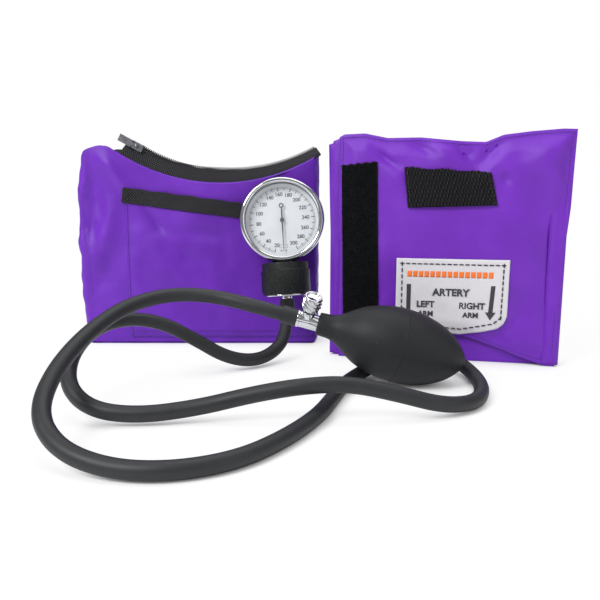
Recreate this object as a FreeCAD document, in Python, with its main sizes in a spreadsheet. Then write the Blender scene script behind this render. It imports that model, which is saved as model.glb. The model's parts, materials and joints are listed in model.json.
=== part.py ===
# Aneroid blood pressure set: a folded arm cuff, a gauge, a squeeze bulb with its release valve,
# two rubber hoses and a zip case. Millimetres: +X to the right seen from the front, +Y away,
# +Z up. The origin is on the table, under the middle of the set without its hoses.
import FreeCAD, Part
import math
import os
import re

import Sketcher
from FreeCAD import Placement, Rotation, Vector

doc = FreeCAD.newDocument("blood_pressure_set")
sizes = doc.addObject("Spreadsheet::Sheet", "sizes")

CELLS = """
hose_radius 4.0 outer radius of both hoses
hose_bore 2.4 bore of a hose where a barb fills it
sleeve_radius 4.9 hose end stretched over a barb
sleeve_long 8.5 length of that hose end
gap 0.3 running gap between pieces of different bodies
shaft_gap 0.05 radial clearance of a shaft in its hole
gauge_x -16.85 dial centre
gauge_y 9.35 dial centre
gauge_z 90.3 dial centre
gauge_lean 10.0 degrees the gauge leans back
gauge_roll 3.5 degrees the foot of the gauge swings right
bezel_radius 28.0 chrome ring of the gauge
bezel_deep 9.0 depth of that ring
lip_radius 24.4 window in the ring
lip_thick 1.6 metal in front of the lens
lens_thick 1.6 clear lens
gasket_thick 1.4 ring behind the lens
head_radius 26.8 gauge case behind the bezel
head_back 19.0 back of the gauge case, from the bezel face
head_wall 1.6 wall of the gauge case
dial_at 7.0 face of the dial, from the bezel face
dial_thick 0.6 printed dial plate
arbor_radius 0.5 pointer shaft
pointer_long 20.9 pointer from its hub to its tip
pointer_tail 9.6 hub to the ring on the tail
gear_module 0.4 tooth module of the movement
pinion_teeth 10 teeth of the pointer pinion
sector_teeth 80 teeth of a whole wheel the size of the sector
gear_at 10.0 front of the gears, from the bezel face
gear_thick 1.0 gear thickness
plate_width 16.0 movement plates
plate_front_at 8.4 front plate, from the bezel face
plate_back_at 13.6 back plate, from the bezel face
plate_thick 0.8 movement plates
pillar_radius 0.9 pillars between the plates
rod_radius 0.6 push rod
housing_radius 16.3 capsule housing under the dial
housing_wall 1.9 wall of the housing
housing_axis 10.0 housing axis, from the bezel face
housing_top -28.4 top of the housing, from the dial centre
housing_end -49.5 open end of the housing
capsule_radius 12.6 bellows capsule
base_thick 1.0 chrome base plate
nipple_long 10.5 hose nipple under the base plate
clip_width 12.0 spring clip on the back of the gauge
clip_deep 3.6 how far the clip stands off
bulb_x 5.25 mouth of the bulb neck
bulb_y -59.15 mouth of the bulb neck
bulb_z 34.75 mouth of the bulb neck
bulb_yaw -2.6 degrees the bulb turns from the X axis
bulb_pitch 14.8 degrees the bulb points down
valve_roll 25.0 degrees the thumbscrew leans to the front
bulb_radius 21.1 widest radius of the bulb
bulb_half 37.0 half the length of the egg
bulb_middle 47.0 neck mouth to the middle of the egg
bulb_wall 3.0 rubber wall
neck_radius 6.4 bulb neck
neck_long 18.0 bulb neck
thumb_from 16.0 start of the wall that is pressed in
thumb_to 74.0 end of that wall
valve_radius 4.6 valve body
valve_long 12.5 valve body between hose and bulb
barb_bulb 3.4 spigot in the bulb neck
barb_bulb_long 8.0 length of that spigot
air_radius 1.1 airway through the valve
screw_at -6.5 thumbscrew axis, from the neck mouth
boss_radius 3.5 boss under the thumbscrew
boss_top 6.6 top of that boss
needle_radius 1.75 needle of the release valve
knob_radius 5.6 thumbscrew
knob_high 10.2 thumbscrew
disc_radius 2.3 delivery valve disc
intake_radius 4.6 intake valve in the tail of the bulb
intake_long 7.4 length of the intake valve
ball_radius 1.8 intake ball
cuff_x 19.55 left bottom corner of the cuff
cuff_y -1.35 left bottom corner of the cuff
cuff_yaw -11.2 degrees the cuff turns from the X axis
cuff_width 137.0 one fold of the cuff
cuff_high 145.0 height of the cuff
cuff_skin 0.9 nylon skin
bladder_thick 2.9 flat rubber bladder
bladder_margin 9.0 seam allowance round the bladder
arch_from 22.0 arch in the bottom edge where the hoses leave
arch_to 112.0 arch in the bottom edge
arch_high 17.0 arch in the bottom edge
panel_thick 2.6 folded cuff panel behind the bladder
panel_gap 0.6 air between folds
fold_out 5.0 how far the left fold stands out
tail_out 9.0 how far the cuff end stands out
loop_thick 1.2 loop patch
hook_thick 1.5 hook strip
hook_width 25.0 hook strip
hook_from 8.0 bottom of the hook strip
hook_to 126.5 top of the hook strip
strap_thick 1.1 webbing strap that holds the gauge clip
strap_from 42.0 left end of the strap
strap_to 95.0 right end of the strap
strap_low 98.0 bottom of the strap
strap_high 122.0 top of the strap
label_thick 0.4 woven label
label_from 37.0 left edge of the label
label_to 106.5 right edge of the label
label_low 18.5 bottom of the label
label_high 67.5 top of the label
port_bulb_at 34.0 port of the bulb hose along the cuff
port_gauge_at 66.0 port of the gauge hose along the cuff
port_high 10.5 height of both ports
port_out 9.0 how far the ports stand out in front
stem_radius 2.0 bladder stem
case_x -156.95 left end of the zip case
case_y 36.35 front of the zip case
case_long 166.0 length of the zip case
case_deep 46.0 depth of the zip case
case_skin 1.2 lined nylon
case_end_high 131.0 height of the case ends
zip_radius 130.0 sag of the zip
zip_middle 97.0 lowest point of the zip along the case
zip_low 114.0 height of that lowest point
zip_half 32.0 degrees of arc each side of the lowest point
tape_wide 9.0 zip tape
tape_thick 1.0 zip tape
tape_lean 4.0 how far a tape leans into the case
coil_size 2.0 zip coil
slider_long 9.0 zip slider
slider_stop 3.5 degrees from the end of the zip to the middle of the slider
pin_radius 0.45 pin that the zip pull hangs on
pull_long 13.0 zip pull
pull_wide 5.0 zip pull
pocket_from 31.0 left seam of the front pocket
pocket_low 5.0 bottom seam of the pocket
pocket_thick 1.0 pocket panel
webbing_thick 1.0 webbing on the pocket mouth
webbing_wide 10.8 webbing on the pocket mouth
webbing_high 105.5 middle of the webbing at its left end
webbing_slope 7.5 degrees the webbing drops to the right
"""
for row, line in enumerate(CELLS.strip().splitlines(), 1):
    alias, figure, note = line.split(" ", 2)
    sizes.set("A%d" % row, note)
    sizes.set("B%d" % row, figure)
    sizes.setAlias("B%d" % row, alias)
doc.recompute()
aliases = {line.split(" ", 1)[0] for line in CELLS.strip().splitlines()}
nodes = {}
FLAT = Placement()


def linked(expression):
    """The expression with each alias pointed at the sheet."""
    word = re.compile(r"[a-z_]+")
    return word.sub(lambda m: "sizes." + m[0] if m[0] in aliases else m[0], str(expression))


def number(expression):
    """What an expression of the sheet's aliases comes to."""
    return float(sizes.evalExpression(str(expression)))


def bind(thing, **expressions):
    for name, expression in expressions.items():
        thing.setExpression(name, linked(expression))
    return thing


def at(x=0, y=0, z=0, turn=None):
    return Placement(Vector(number(x), number(y), number(z)), turn or Rotation())


def about(axis, degrees):
    return Rotation(Vector(*axis), number(degrees))


def node(thing, name, frame=FLAT):
    """Name a sub-part, and carry it from its group's frame to its place in the set."""
    thing.Label = name
    thing.Placement = frame * thing.Placement
    nodes[name] = thing
    return thing


def block(long, deep, high, place=FLAT):
    thing = bind(doc.addObject("Part::Box", "block"), Length=long, Width=deep, Height=high)
    thing.Placement = place
    return thing


UP = Rotation()
BACK = Rotation(Vector(1, 0, 0), -90)
RIGHT = Rotation(Vector(0, 1, 0), 90)


def rod(radius, high, place=FLAT):
    """A cylinder from its place along its own Z; BACK and RIGHT turn that to +Y and +X."""
    thing = bind(doc.addObject("Part::Cylinder", "rod"), Radius=radius, Height=high)
    thing.Placement = place
    return thing


def fuse(*shapes):
    thing = doc.addObject("Part::MultiFuse", "fusion")
    thing.Shapes = list(shapes)
    return thing


def cut(base, *tools):
    thing = doc.addObject("Part::Cut", "cut")
    thing.Base = base
    thing.Tool = tools[0] if len(tools) == 1 else fuse(*tools)
    return thing


def tube(outer, inner, high, place=FLAT):
    thing = cut(rod(outer, high), rod(inner, high))
    thing.Placement = place
    return thing


def outline(body, plane, corners):
    """A closed sketch of straight edges, each corner tied to the sheet."""
    sketch = body.newObject("Sketcher::SketchObject", "outline")
    origin = [f for f in body.Origin.OriginFeatures if f.Role == plane]
    sketch.AttachmentSupport = (origin[0], [""])
    sketch.MapMode = "FlatFace"
    points = [Vector(number(x), number(y), 0) for x, y in corners]
    for i, point in enumerate(points):
        sketch.addGeometry(Part.LineSegment(point, points[(i + 1) % len(points)]))
    for i in range(len(points)):
        after = (i + 1) % len(points)
        sketch.addConstraint(Sketcher.Constraint("Coincident", i, 2, after, 1))
    for i, (x, y) in enumerate(corners):
        for kind, expression in (("DistanceX", x), ("DistanceY", y)):
            rule = Sketcher.Constraint(kind, -1, 1, i, 1, number(expression))
            index = sketch.addConstraint(rule)
            sketch.setExpression("Constraints[%d]" % index, linked(expression))
    return sketch


def padded(plane, corners, thick, place=FLAT, backwards=False):
    """A Body with one Pad. From XZ_Plane it grows to -Y, or to +Y when backwards."""
    body = doc.addObject("PartDesign::Body", "body")
    pad = body.newObject("PartDesign::Pad", "pad")
    pad.Profile = outline(body, plane, corners)
    pad.Reversed = backwards
    bind(pad, Length=thick)
    body.Placement = place
    return body


def turned(plane, corners, place=FLAT, sweep=360, midplane=False):
    """A Body with one Revolution about its sketch's upright axis."""
    body = doc.addObject("PartDesign::Body", "body")
    turn = body.newObject("PartDesign::Revolution", "turn")
    sketch = outline(body, plane, corners)
    turn.Profile = sketch
    turn.ReferenceAxis = (sketch, ["V_Axis"])
    turn.Midplane = midplane
    bind(turn, Angle=sweep)
    body.Placement = place
    return body


def toothed(blank, tooth, thick, count, sweep, place):
    """A flat Body whose tooth is repeated round its own Y axis."""
    body = doc.addObject("PartDesign::Body", "gear")
    for corners in (blank, tooth):
        pad = body.newObject("PartDesign::Pad", "pad")
        pad.Profile = outline(body, "XZ_Plane", corners)
        pad.Reversed = True
        bind(pad, Length=thick)
    doc.recompute()
    pattern = body.newObject("PartDesign::PolarPattern", "teeth")
    pattern.Originals = [pad]
    pattern.Axis = (pad.Profile[0], ["N_Axis"])
    pattern.Reversed = True
    pattern.Angle = sweep
    pattern.Occurrences = count
    body.Tip = pattern
    body.Placement = place
    return body


# ---------------------------------------------------------------- gauge
# Its frame: the origin is the centre of the bezel's face, +Y goes into the gauge, +Z is up it.
gauge = at("gauge_x", "gauge_y", "gauge_z",
           about((1, 0, 0), "-gauge_lean") * about((0, 1, 0), "-gauge_roll"))

bezel = [("lip_radius", "0.5"), ("lip_radius + 1.2", "0"), ("bezel_radius - 0.8", "0"),
         ("bezel_radius", "1.2"), ("bezel_radius", "bezel_deep"), ("head_radius", "bezel_deep"),
         ("head_radius", "lip_thick"), ("lip_radius", "lip_thick")]
node(turned("XY_Plane", bezel), "gauge_bezel", gauge)

lens_seat = "head_radius - 0.1"
node(rod(lens_seat, "lens_thick", at(0, "lip_thick", 0, BACK)), "gauge_lens", gauge)
gasket_at = "lip_thick + lens_thick"
gasket = tube(lens_seat, "lip_radius + 0.6", "gasket_thick", at(0, gasket_at, 0, BACK))
node(gasket, "lens_gasket", gauge)

head_at = "(lip_thick + lens_thick + gasket_thick)"
head = rod("head_radius", "head_back - " + head_at, at(0, head_at, 0, BACK))
neck = block("16", "head_back - bezel_deep - gap", "12", at(-8, "bezel_deep + gap", -35))
housing_outline = [("housing_radius - housing_wall", "housing_end"),
                   ("housing_radius - 1.2", "housing_end"), ("housing_radius", "housing_end + 2"),
                   ("housing_radius", "housing_top - 5.2"), ("housing_radius - 0.9", "housing_top - 4.2"),
                   ("housing_radius - 0.9", "housing_top"), ("6.5", "housing_top"),
                   ("6.5", "housing_top - 2"), ("housing_radius - housing_wall", "housing_top - 2")]
housing = turned("XZ_Plane", housing_outline, at(0, "housing_axis", 0))
head_hollow = rod("head_radius - head_wall", "head_back - head_wall - " + head_at,
                  at(0, head_at, 0, BACK))
passage = block("7", "4", "16", at(1, "housing_axis - 1.5", -37))
capsule_room = rod("housing_radius - housing_wall", "10", at(0, "housing_axis", "housing_top - 12"))
node(cut(fuse(head, neck, housing), head_hollow, passage, capsule_room), "gauge_case", gauge)

ring_long = "dial_at - " + head_at
dial_seat = "head_radius - head_wall"
node(tube(dial_seat, "lip_radius - 0.2", ring_long, at(0, head_at, 0, BACK)), "dial_ring", gauge)
arbor_hole = "arbor_radius + shaft_gap"
dial = tube(dial_seat, "arbor_radius + 0.5", "dial_thick", at(0, "dial_at", 0, BACK))
node(dial, "dial_plate", gauge)

needle_outline = [("-0.12", "-pointer_long"), ("0.12", "-pointer_long"), ("0.55", "0"),
                  ("0.35", "pointer_tail - 1.2"), ("-0.35", "pointer_tail - 1.2"), ("-0.55", "0")]
needle_arm = padded("XZ_Plane", needle_outline, "0.3", at(0, 5.0), True)
hub = rod("1.5", "0.9", at(0, 4.7, 0, BACK))
tail_ring = tube("1.6", "0.9", "0.3", at(0, 5.0, "pointer_tail", BACK))
hub_bore = rod("arbor_radius", "0.9", at(0, 4.7, 0, BACK))
node(cut(fuse(needle_arm, hub, tail_ring), hub_bore), "pointer", gauge)

pinion_pitch = "gear_module * pinion_teeth / 2"
sector_pitch = "gear_module * sector_teeth / 2"
sector_down = number(pinion_pitch) + number(sector_pitch)
tooth_half = 0.55 * number("gear_module")
pinion_root = number(pinion_pitch) - 1.25 * number("gear_module")


def ring_corners(radius, count):
    steps = [math.radians(360.0 * i / count) for i in range(count)]
    return [(radius * math.cos(a), radius * math.sin(a)) for a in steps]


def tooth_corners(root, tip):
    """A tooth that points down from a gear centre."""
    return [(-tooth_half, -root), (-tooth_half * 0.55, -tip), (tooth_half * 0.55, -tip),
            (tooth_half, -root)]


pinion_tip = number(pinion_pitch) + 0.8 * number("gear_module")
pinion = toothed(ring_corners(pinion_root, 20), tooth_corners(pinion_root - 0.15, pinion_tip),
                 "gear_thick", int(number("pinion_teeth")), 360, at(0, "gear_at"))
arbor = rod("arbor_radius", "plate_back_at + 0.5 - 4.7", at(0, 4.7, 0, BACK))
node(fuse(arbor, pinion), "pointer_arbor", gauge)

tooth_pitch = 360.0 / number("sector_teeth")
sector_root = number(sector_pitch) - 1.25 * number("gear_module")
sector_tip = number(sector_pitch) + 0.8 * number("gear_module")
SECTOR_DRAWN = 12
first = 90.0 + 1.5 * tooth_pitch
last = first - (SECTOR_DRAWN - 1) * tooth_pitch


def spoke(radius, degrees):
    return radius * math.cos(math.radians(degrees)), radius * math.sin(math.radians(degrees))


rim = [spoke(sector_root, first + 1.2 - i * (first - last + 2.4) / 12) for i in range(13)]
sector_blank = rim + [(1.5, -1.0), (-1.5, -1.0)]
sector_tooth = [spoke(sector_root - 0.15, first - 0.9), spoke(sector_tip, first - 0.45),
                spoke(sector_tip, first + 0.45), spoke(sector_root - 0.15, first + 0.9)]
sector = toothed(sector_blank, sector_tooth, "gear_thick", SECTOR_DRAWN,
                 (SECTOR_DRAWN - 1) * tooth_pitch, at(0, "gear_at"))
lever = block("5.6", "gear_thick", "1.2", at(0, "gear_at", 0, about((0, 1, 0), 21)) * at(0, 0, -0.6))
sector_hub = rod("2.0", "gear_thick", at(0, "gear_at", 0, BACK))
sector_shaft = rod("arbor_radius", "plate_back_at + plate_thick - plate_front_at",
                   at(0, "plate_front_at", 0, BACK))
sector_place = at(0, 0, -sector_down)
node(fuse(sector, lever, sector_hub, sector_shaft), "sector_gear", gauge * sector_place)


def movement_plate(name, front):
    plate = block("plate_width", "plate_thick", "28", at("-plate_width / 2", front, -22))
    upper = rod(arbor_hole, "plate_thick", at(0, front, 0, BACK))
    lower = rod(arbor_hole, "plate_thick", at(0, front, -sector_down, BACK))
    node(cut(plate, upper, lower), name, gauge)


movement_plate("movement_front_plate", "plate_front_at")
movement_plate("movement_back_plate", "plate_back_at")
pillars = []
for x in ("-plate_width / 2 + 1.1", "plate_width / 2 - 1.1"):
    for z in (-20.8, 4.8):
        between = "plate_back_at - plate_front_at - plate_thick"
        pillars.append(rod("pillar_radius", between, at(x, "plate_front_at + plate_thick", z, BACK)))
        foot = "head_back - head_wall - plate_back_at - plate_thick"
        pillars.append(rod("pillar_radius", foot, at(x, "plate_back_at + plate_thick", z, BACK)))
group = doc.addObject("Part::Compound", "pillars")
group.Links = pillars
node(group, "movement_pillars", gauge)

spiral = []
for turn_number in range(8):
    middle = 0.35 if turn_number % 2 else 0.0
    radius = 0.95 + 0.35 * turn_number
    half = Part.makeCylinder(radius + 0.09, 0.5, Vector(middle, 0, 0), Vector(0, 1, 0))
    half = half.cut(Part.makeCylinder(radius - 0.09, 0.5, Vector(middle, 0, 0), Vector(0, 1, 0)))
    side = -20 if turn_number % 2 else 0
    spiral.append(half.common(Part.makeBox(40, 0.5, 20, Vector(-20, 0, side))))
hairspring = doc.addObject("Part::Feature", "hairspring")
hairspring.Shape = spiral[0].multiFuse(spiral[1:])
hairspring.Placement = at(0, 12.1)
node(hairspring, "hairspring", gauge)

capsule_outline = [("0", "-46.6"), ("8", "-46.6"), ("capsule_radius", "-43.6"),
                   ("capsule_radius", "-43"), ("9", "-41.4"), ("capsule_radius", "-39.8"),
                   ("capsule_radius", "-39.2"), ("8", "-37"), ("0", "-37")]
node(turned("XZ_Plane", capsule_outline, at(0, "housing_axis")), "bellows_capsule", gauge)
rod_low = -36.8
rod_top = -sector_down - 4 * math.tan(math.radians(21)) - 0.6 / math.cos(math.radians(21)) - 0.2
push_rod = rod("rod_radius", rod_top - rod_low, at(4, "gear_at + gear_thick / 2", rod_low))
node(push_rod, "push_rod", gauge)

base = rod("housing_radius - 1", "base_thick", at(0, "housing_axis", "housing_end - base_thick"))
stalk = rod("3", "-37 - 9.6 - housing_end", at(0, "housing_axis", "housing_end"))
node(fuse(base, stalk), "gauge_base", gauge)
nipple_top = "housing_end - base_thick"
nipple_outline = [("0", nipple_top), ("3.6", nipple_top), ("3.6", nipple_top + " - 2"),
                  ("hose_bore", nipple_top + " - 2"), ("hose_bore", nipple_top + " - nipple_long"),
                  ("0", nipple_top + " - nipple_long")]
node(turned("XZ_Plane", nipple_outline, at(0, "housing_axis")), "gauge_nipple", gauge)
sleeve_low = nipple_top + " - 2 - sleeve_long"
sleeve = tube("sleeve_radius", "hose_bore", "sleeve_long", at(0, "housing_axis", sleeve_low))
node(sleeve, "gauge_hose_end", gauge)

clip = [("head_back", "-4"), ("head_back", "11"), ("head_back + clip_deep", "11"),
        ("head_back + clip_deep", "-16"), ("head_back + clip_deep - 0.9", "-16"),
        ("head_back + clip_deep - 0.9", "10.1"), ("head_back + 0.9", "10.1"),
        ("head_back + 0.9", "-4")]
node(padded("YZ_Plane", clip, "clip_width", at("-clip_width / 2")), "gauge_clip", gauge)

# ---------------------------------------------------------------- bulb and release valve
# Their frame: the origin is the mouth of the bulb's neck, +X runs along the bulb.
bulb = at("bulb_x", "bulb_y", "bulb_z",
          about((0, 0, 1), "bulb_yaw") * about((0, 1, 0), "bulb_pitch"))
valve = bulb * at(turn=about((1, 0, 0), "valve_roll"))


def egg(shrink):
    thing = doc.addObject("Part::Ellipsoid", "egg")
    bind(thing, Radius1="bulb_half - " + shrink, Radius2="bulb_radius - " + shrink,
         Radius3="bulb_radius - " + shrink)
    thing.Placement = at("bulb_middle", turn=RIGHT)
    return thing


def bulb_shell():
    skin = fuse(egg("0"), rod("neck_radius", "neck_long", at(turn=RIGHT)))
    tail_hole = rod("intake_radius", "20", at("bulb_middle + bulb_half - 12", turn=RIGHT))
    return cut(skin, egg("bulb_wall"), rod("barb_bulb", "neck_long", at(turn=RIGHT)), tail_hole)


def thumb_box():
    return block("thumb_to - thumb_from", "60", "30", at("thumb_from", -30, 0))


node(cut(bulb_shell(), thumb_box()), "bulb_body", bulb)
thumb = doc.addObject("Part::Common", "thumb")
thumb.Base = bulb_shell()
thumb.Tool = thumb_box()
node(thumb, "bulb_thumb_wall", bulb)

body_bar = rod("valve_radius", "valve_long", at("-valve_long", turn=RIGHT))
bulb_spigot = rod("barb_bulb", "barb_bulb_long", at(turn=RIGHT))
hose_barb = rod("hose_bore", "sleeve_long", at("-valve_long - sleeve_long", turn=RIGHT))
boss = rod("boss_radius", "boss_top", at("screw_at"))
airway = rod("air_radius", "valve_long + sleeve_long + barb_bulb_long",
             at("-valve_long - sleeve_long", turn=RIGHT))
needle_hole = rod("needle_radius + shaft_gap", "boss_top + 1.6", at("screw_at", 0, -1.6))
chamber = rod("disc_radius + gap", "barb_bulb_long - 3", at(3, turn=RIGHT))
valve_solid = fuse(body_bar, bulb_spigot, hose_barb, boss)
node(cut(valve_solid, airway, needle_hole, chamber), "valve_body", valve)
seat = tube("disc_radius + gap", "air_radius", "1.6", at("barb_bulb_long - 1.6", turn=RIGHT))
node(seat, "delivery_seat", valve)
node(rod("disc_radius", "0.8", at("barb_bulb_long - 2.5", turn=RIGHT)), "delivery_disc", valve)
sleeve = tube("sleeve_radius", "hose_bore", "sleeve_long",
              at("-valve_long - sleeve_long", turn=RIGHT))
node(sleeve, "bulb_hose_end", valve)

knob_low = "boss_top + 0.6"
needle = [("0", "-1.2"), ("0.5", "-1.2"), ("needle_radius", "1.3"),
          ("needle_radius", "boss_top + 2.7"), ("0", "boss_top + 2.7")]
node(turned("XZ_Plane", needle, at("screw_at")), "release_needle", valve)
knob_top = knob_low + " + knob_high"
knob_bore = "needle_radius + shaft_gap"
knob = [(knob_bore, knob_low), ("knob_radius - 2.4", knob_low),
        ("knob_radius - 1.4", knob_low + " + 1.2"), ("knob_radius", knob_low + " + 2"),
        ("knob_radius", knob_top + " - 0.8"), ("knob_radius - 0.7", knob_top),
        ("knob_radius - 2", knob_top), ("knob_radius - 2.4", knob_top + " - 1.4"),
        ("0", knob_top + " - 1.4"), ("0", "boss_top + 2.8"), (knob_bore, "boss_top + 2.8")]
node(turned("XZ_Plane", knob, at("screw_at")), "thumbscrew", valve)

intake_at = "bulb_middle + bulb_half - intake_long - 0.8"
plug = rod("intake_radius", "intake_long", at(intake_at, turn=RIGHT))
cage = rod("ball_radius + gap", "intake_long - 2.4", at(intake_at + " + 0.8", turn=RIGHT))
inner_hole = rod("0.7", "2", at(intake_at, turn=RIGHT))
outer_hole = rod("1.2", "intake_long", at(intake_at + " + 1", turn=RIGHT))
node(cut(plug, cage, inner_hole, outer_hole), "intake_valve", bulb)
ball = bind(doc.addObject("Part::Sphere", "ball"), Radius="ball_radius")
ball.Placement = at(intake_at + " + intake_long - 1.6 - ball_radius - 0.05")
node(ball, "intake_ball", bulb)

# ---------------------------------------------------------------- cuff
# Its frame: the left bottom corner of the front skin, +X along the folds, +Y to the layers behind.
cuff = at("cuff_x", "cuff_y", 0, about((0, 0, 1), "cuff_yaw"))
arched = [("0", "0"), ("arch_from - 14", "0"), ("arch_from", "arch_high"), ("arch_to", "arch_high"),
          ("cuff_width - 6", "0"), ("cuff_width", "0"), ("cuff_width", "cuff_high"),
          ("0", "cuff_high")]
node(padded("XZ_Plane", arched, "cuff_skin", FLAT, True), "cuff_front_skin", cuff)
bladder = block("cuff_width - 2 * bladder_margin", "bladder_thick", "cuff_high - arch_high - bladder_margin",
                at("bladder_margin", "cuff_skin", "arch_high"))
node(bladder, "bladder", cuff)
lining_at = "cuff_skin + bladder_thick"
node(padded("XZ_Plane", arched, "cuff_skin", at(0, lining_at), True), "cuff_front_lining", cuff)

first_back = "2 * cuff_skin + bladder_thick"
second_at = first_back + " + panel_gap"
third_at = second_at + " + panel_thick + panel_gap"
loop_at = third_at + " + panel_thick + panel_gap"
fourth_at = loop_at + " + loop_thick"
folded_long = "cuff_width + fold_out"
node(block(folded_long, "panel_thick", "cuff_high", at("-fold_out", second_at)),
     "cuff_second_fold", cuff)
node(block(folded_long, "panel_thick", "cuff_high", at("-fold_out", third_at)),
     "cuff_third_fold", cuff)
node(block("cuff_width + tail_out", "panel_thick", "cuff_high", at("-tail_out", fourth_at)),
     "cuff_end_fold", cuff)
node(block("cuff_width - 20", "loop_thick", "cuff_high - 24", at(4, loop_at, 12)),
     "loop_patch", cuff)
node(block("hook_width", "hook_thick", "hook_to - hook_from", at(0, "-hook_thick", "hook_from")),
     "hook_strip", cuff)
strap = [("strap_from", "0"), ("strap_from", "-strap_thick"), ("strap_to", "-strap_thick"),
         ("strap_to", "0"), ("strap_to - 5", "0"), ("strap_to - 6", "-strap_thick + 0.7"),
         ("strap_from + 6", "-strap_thick + 0.7"), ("strap_from + 5", "0")]
node(padded("XY_Plane", strap, "strap_high - strap_low", at(0, 0, "strap_low")),
     "gauge_strap", cuff)
label = [("label_from", "label_high"), ("label_from", "label_low + 16"),
         ("label_from + 6", "label_low + 5"), ("(label_from + label_to) / 2", "label_low"),
         ("label_to - 6", "label_low + 5"), ("label_to", "label_low + 16"),
         ("label_to", "label_high")]
node(padded("XZ_Plane", label, "label_thick"), "artery_label", cuff)


def port(name, along):
    """A bladder stem that turns forward under the arch, and the hose end over its barb."""
    middle = "cuff_skin + bladder_thick / 2"
    stem = rod("stem_radius", "arch_high - port_high", at(along, middle, "port_high"))
    corner = bind(doc.addObject("Part::Sphere", "corner"), Radius="hose_bore")
    corner.Placement = at(along, middle, "port_high")
    barb = rod("hose_bore", "port_out + " + middle, at(along, "-port_out", "port_high", BACK))
    node(fuse(stem, corner, barb), name + "_port", cuff)
    end = tube("sleeve_radius", "hose_bore", "sleeve_long", at(along, "-port_out", "port_high", BACK))
    node(end, name + "_port_hose_end", cuff)


port("bulb", "port_bulb_at")
port("gauge", "port_gauge_at")

# ---------------------------------------------------------------- zip case
# Its frame: the left bottom front corner of the case.
case = at("case_x", "case_y")
zip_height = "zip_low + zip_radius"


def case_wall(name, front):
    """A wall whose top edge follows the sag of the zip."""
    wall = block("case_long", "case_skin", "zip_low + 26", at(0, front))
    sag = rod("zip_radius", "case_skin", at("zip_middle", front, zip_height, BACK))
    above = block("case_long", "case_skin", "26", at(0, front, "case_end_high + 4"))
    node(cut(wall, sag, above), name, case)


case_wall("case_front", "0")
case_wall("case_back", "case_deep - case_skin")
inside_deep = "case_deep - 2 * case_skin"
node(block("case_long", inside_deep, "case_skin", at(0, "case_skin")), "case_bottom", case)
end_high = "case_end_high - case_skin"
for name, x in (("case_left_end", "0"), ("case_right_end", "case_long - case_skin")):
    node(block("case_skin", inside_deep, end_high, at(x, "case_skin", "case_skin")), name, case)

pocket = [("pocket_from", "pocket_low"), ("case_long - 2", "pocket_low"),
          ("case_long - 2", "webbing_high - (case_long - 2 - pocket_from) * tan(webbing_slope) - 5"),
          ("pocket_from", "webbing_high - 5")]
node(padded("XZ_Plane", pocket, "pocket_thick"), "front_pocket", case)
webbing = block("case_long - pocket_from - 2", "webbing_thick", "webbing_wide",
                at("pocket_from - 1", "-pocket_thick - webbing_thick", "webbing_high",
                   about((0, 1, 0), "webbing_slope")) * at(0, 0, "-webbing_wide / 2"))
node(webbing, "pocket_webbing", case)

# The zip turns about the centre of its sag: in these bodies +X points down and +Y to the back.
zip_centre = at("zip_middle", 0, zip_height, RIGHT)
for name, front, lean in (("front", "0", 1), ("back", "case_deep", -1)):
    side = "-" if lean < 0 else ""
    root = "%s + %s0.1" % (front, side) if lean < 0 else "0.1"
    inner = "%s + %s(tape_lean + 0.1)" % (front, side) if lean < 0 else "tape_lean + 0.1"
    thick = "%s" % ("- tape_thick" if lean < 0 else "+ tape_thick")
    tape = [("zip_radius", root), ("zip_radius - tape_wide", inner),
            ("zip_radius - tape_wide", inner + thick), ("zip_radius", root + thick)]
    node(turned("XY_Plane", tape, zip_centre, "2 * zip_half", True), "zip_tape_" + name, case)
    coil_low = "zip_radius - tape_wide"
    coil_front = inner + (" - 0.5" if lean > 0 else " + 0.5")
    coil_back = coil_front + (" + coil_size" if lean > 0 else " - coil_size")
    coil = [(coil_low, coil_front), (coil_low + " - coil_size", coil_front),
            (coil_low + " - coil_size", coil_back), (coil_low, coil_back)]
    node(turned("XY_Plane", coil, zip_centre, "2 * zip_half - 2", True), "zip_coil_" + name, case)

# The slider grips the front coil at the left end of its travel.
slider_turn = about((0, 1, 0), "zip_half - slider_stop")
slider_frame = case * at("zip_middle", "tape_lean", zip_height, slider_turn * RIGHT)
coil_top = "zip_radius - tape_wide - coil_size"
grip = [(coil_top + " - gap - 1.2", "-2"), (coil_top + " - gap - 1.2", "3.2"),
        (coil_top + " + 3.4", "3.2"), (coil_top + " + 3.4", "2.1"), (coil_top + " - gap", "2.1"),
        (coil_top + " - gap", "-0.9"), (coil_top + " + 3.4", "-0.9"), (coil_top + " + 3.4", "-2")]
slider = padded("XY_Plane", grip, "slider_long", at(0, 0, "-slider_long / 2"))
# A pin across the slider carries the pull, which hangs along the zip and swings out.
ear_thick, pin_out, pull_thick = 0.7, -3.2, 0.8
pin_low, pin_high = coil_top + " - 0.9", coil_top + " + 2"
ears = [block(ear_thick, "2", "2", at(x, -4, -1)) for x in (pin_low, pin_high)]
pin = rod("pin_radius", "2.9 + %g" % ear_thick, at(pin_low, pin_out, 0, RIGHT))
node(fuse(slider, *ears, pin), "zip_slider", slider_frame)
eye_at, eye_long = coil_top + " - 0.05", 2
eye = tube("1", "pin_radius + shaft_gap", eye_long, at(eye_at, pin_out, 0, RIGHT))
pull_front = pin_out - pull_thick / 2
shank = block(eye_long, pull_thick, "3", at(eye_at, pull_front, -3.7))
tab = block("pull_wide", pull_thick, "pull_long - 3.5",
            at("%s + %g - pull_wide / 2" % (eye_at, eye_long / 2), pull_front, "-pull_long"))
node(fuse(eye, shank, tab), "zip_pull", slider_frame)

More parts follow.
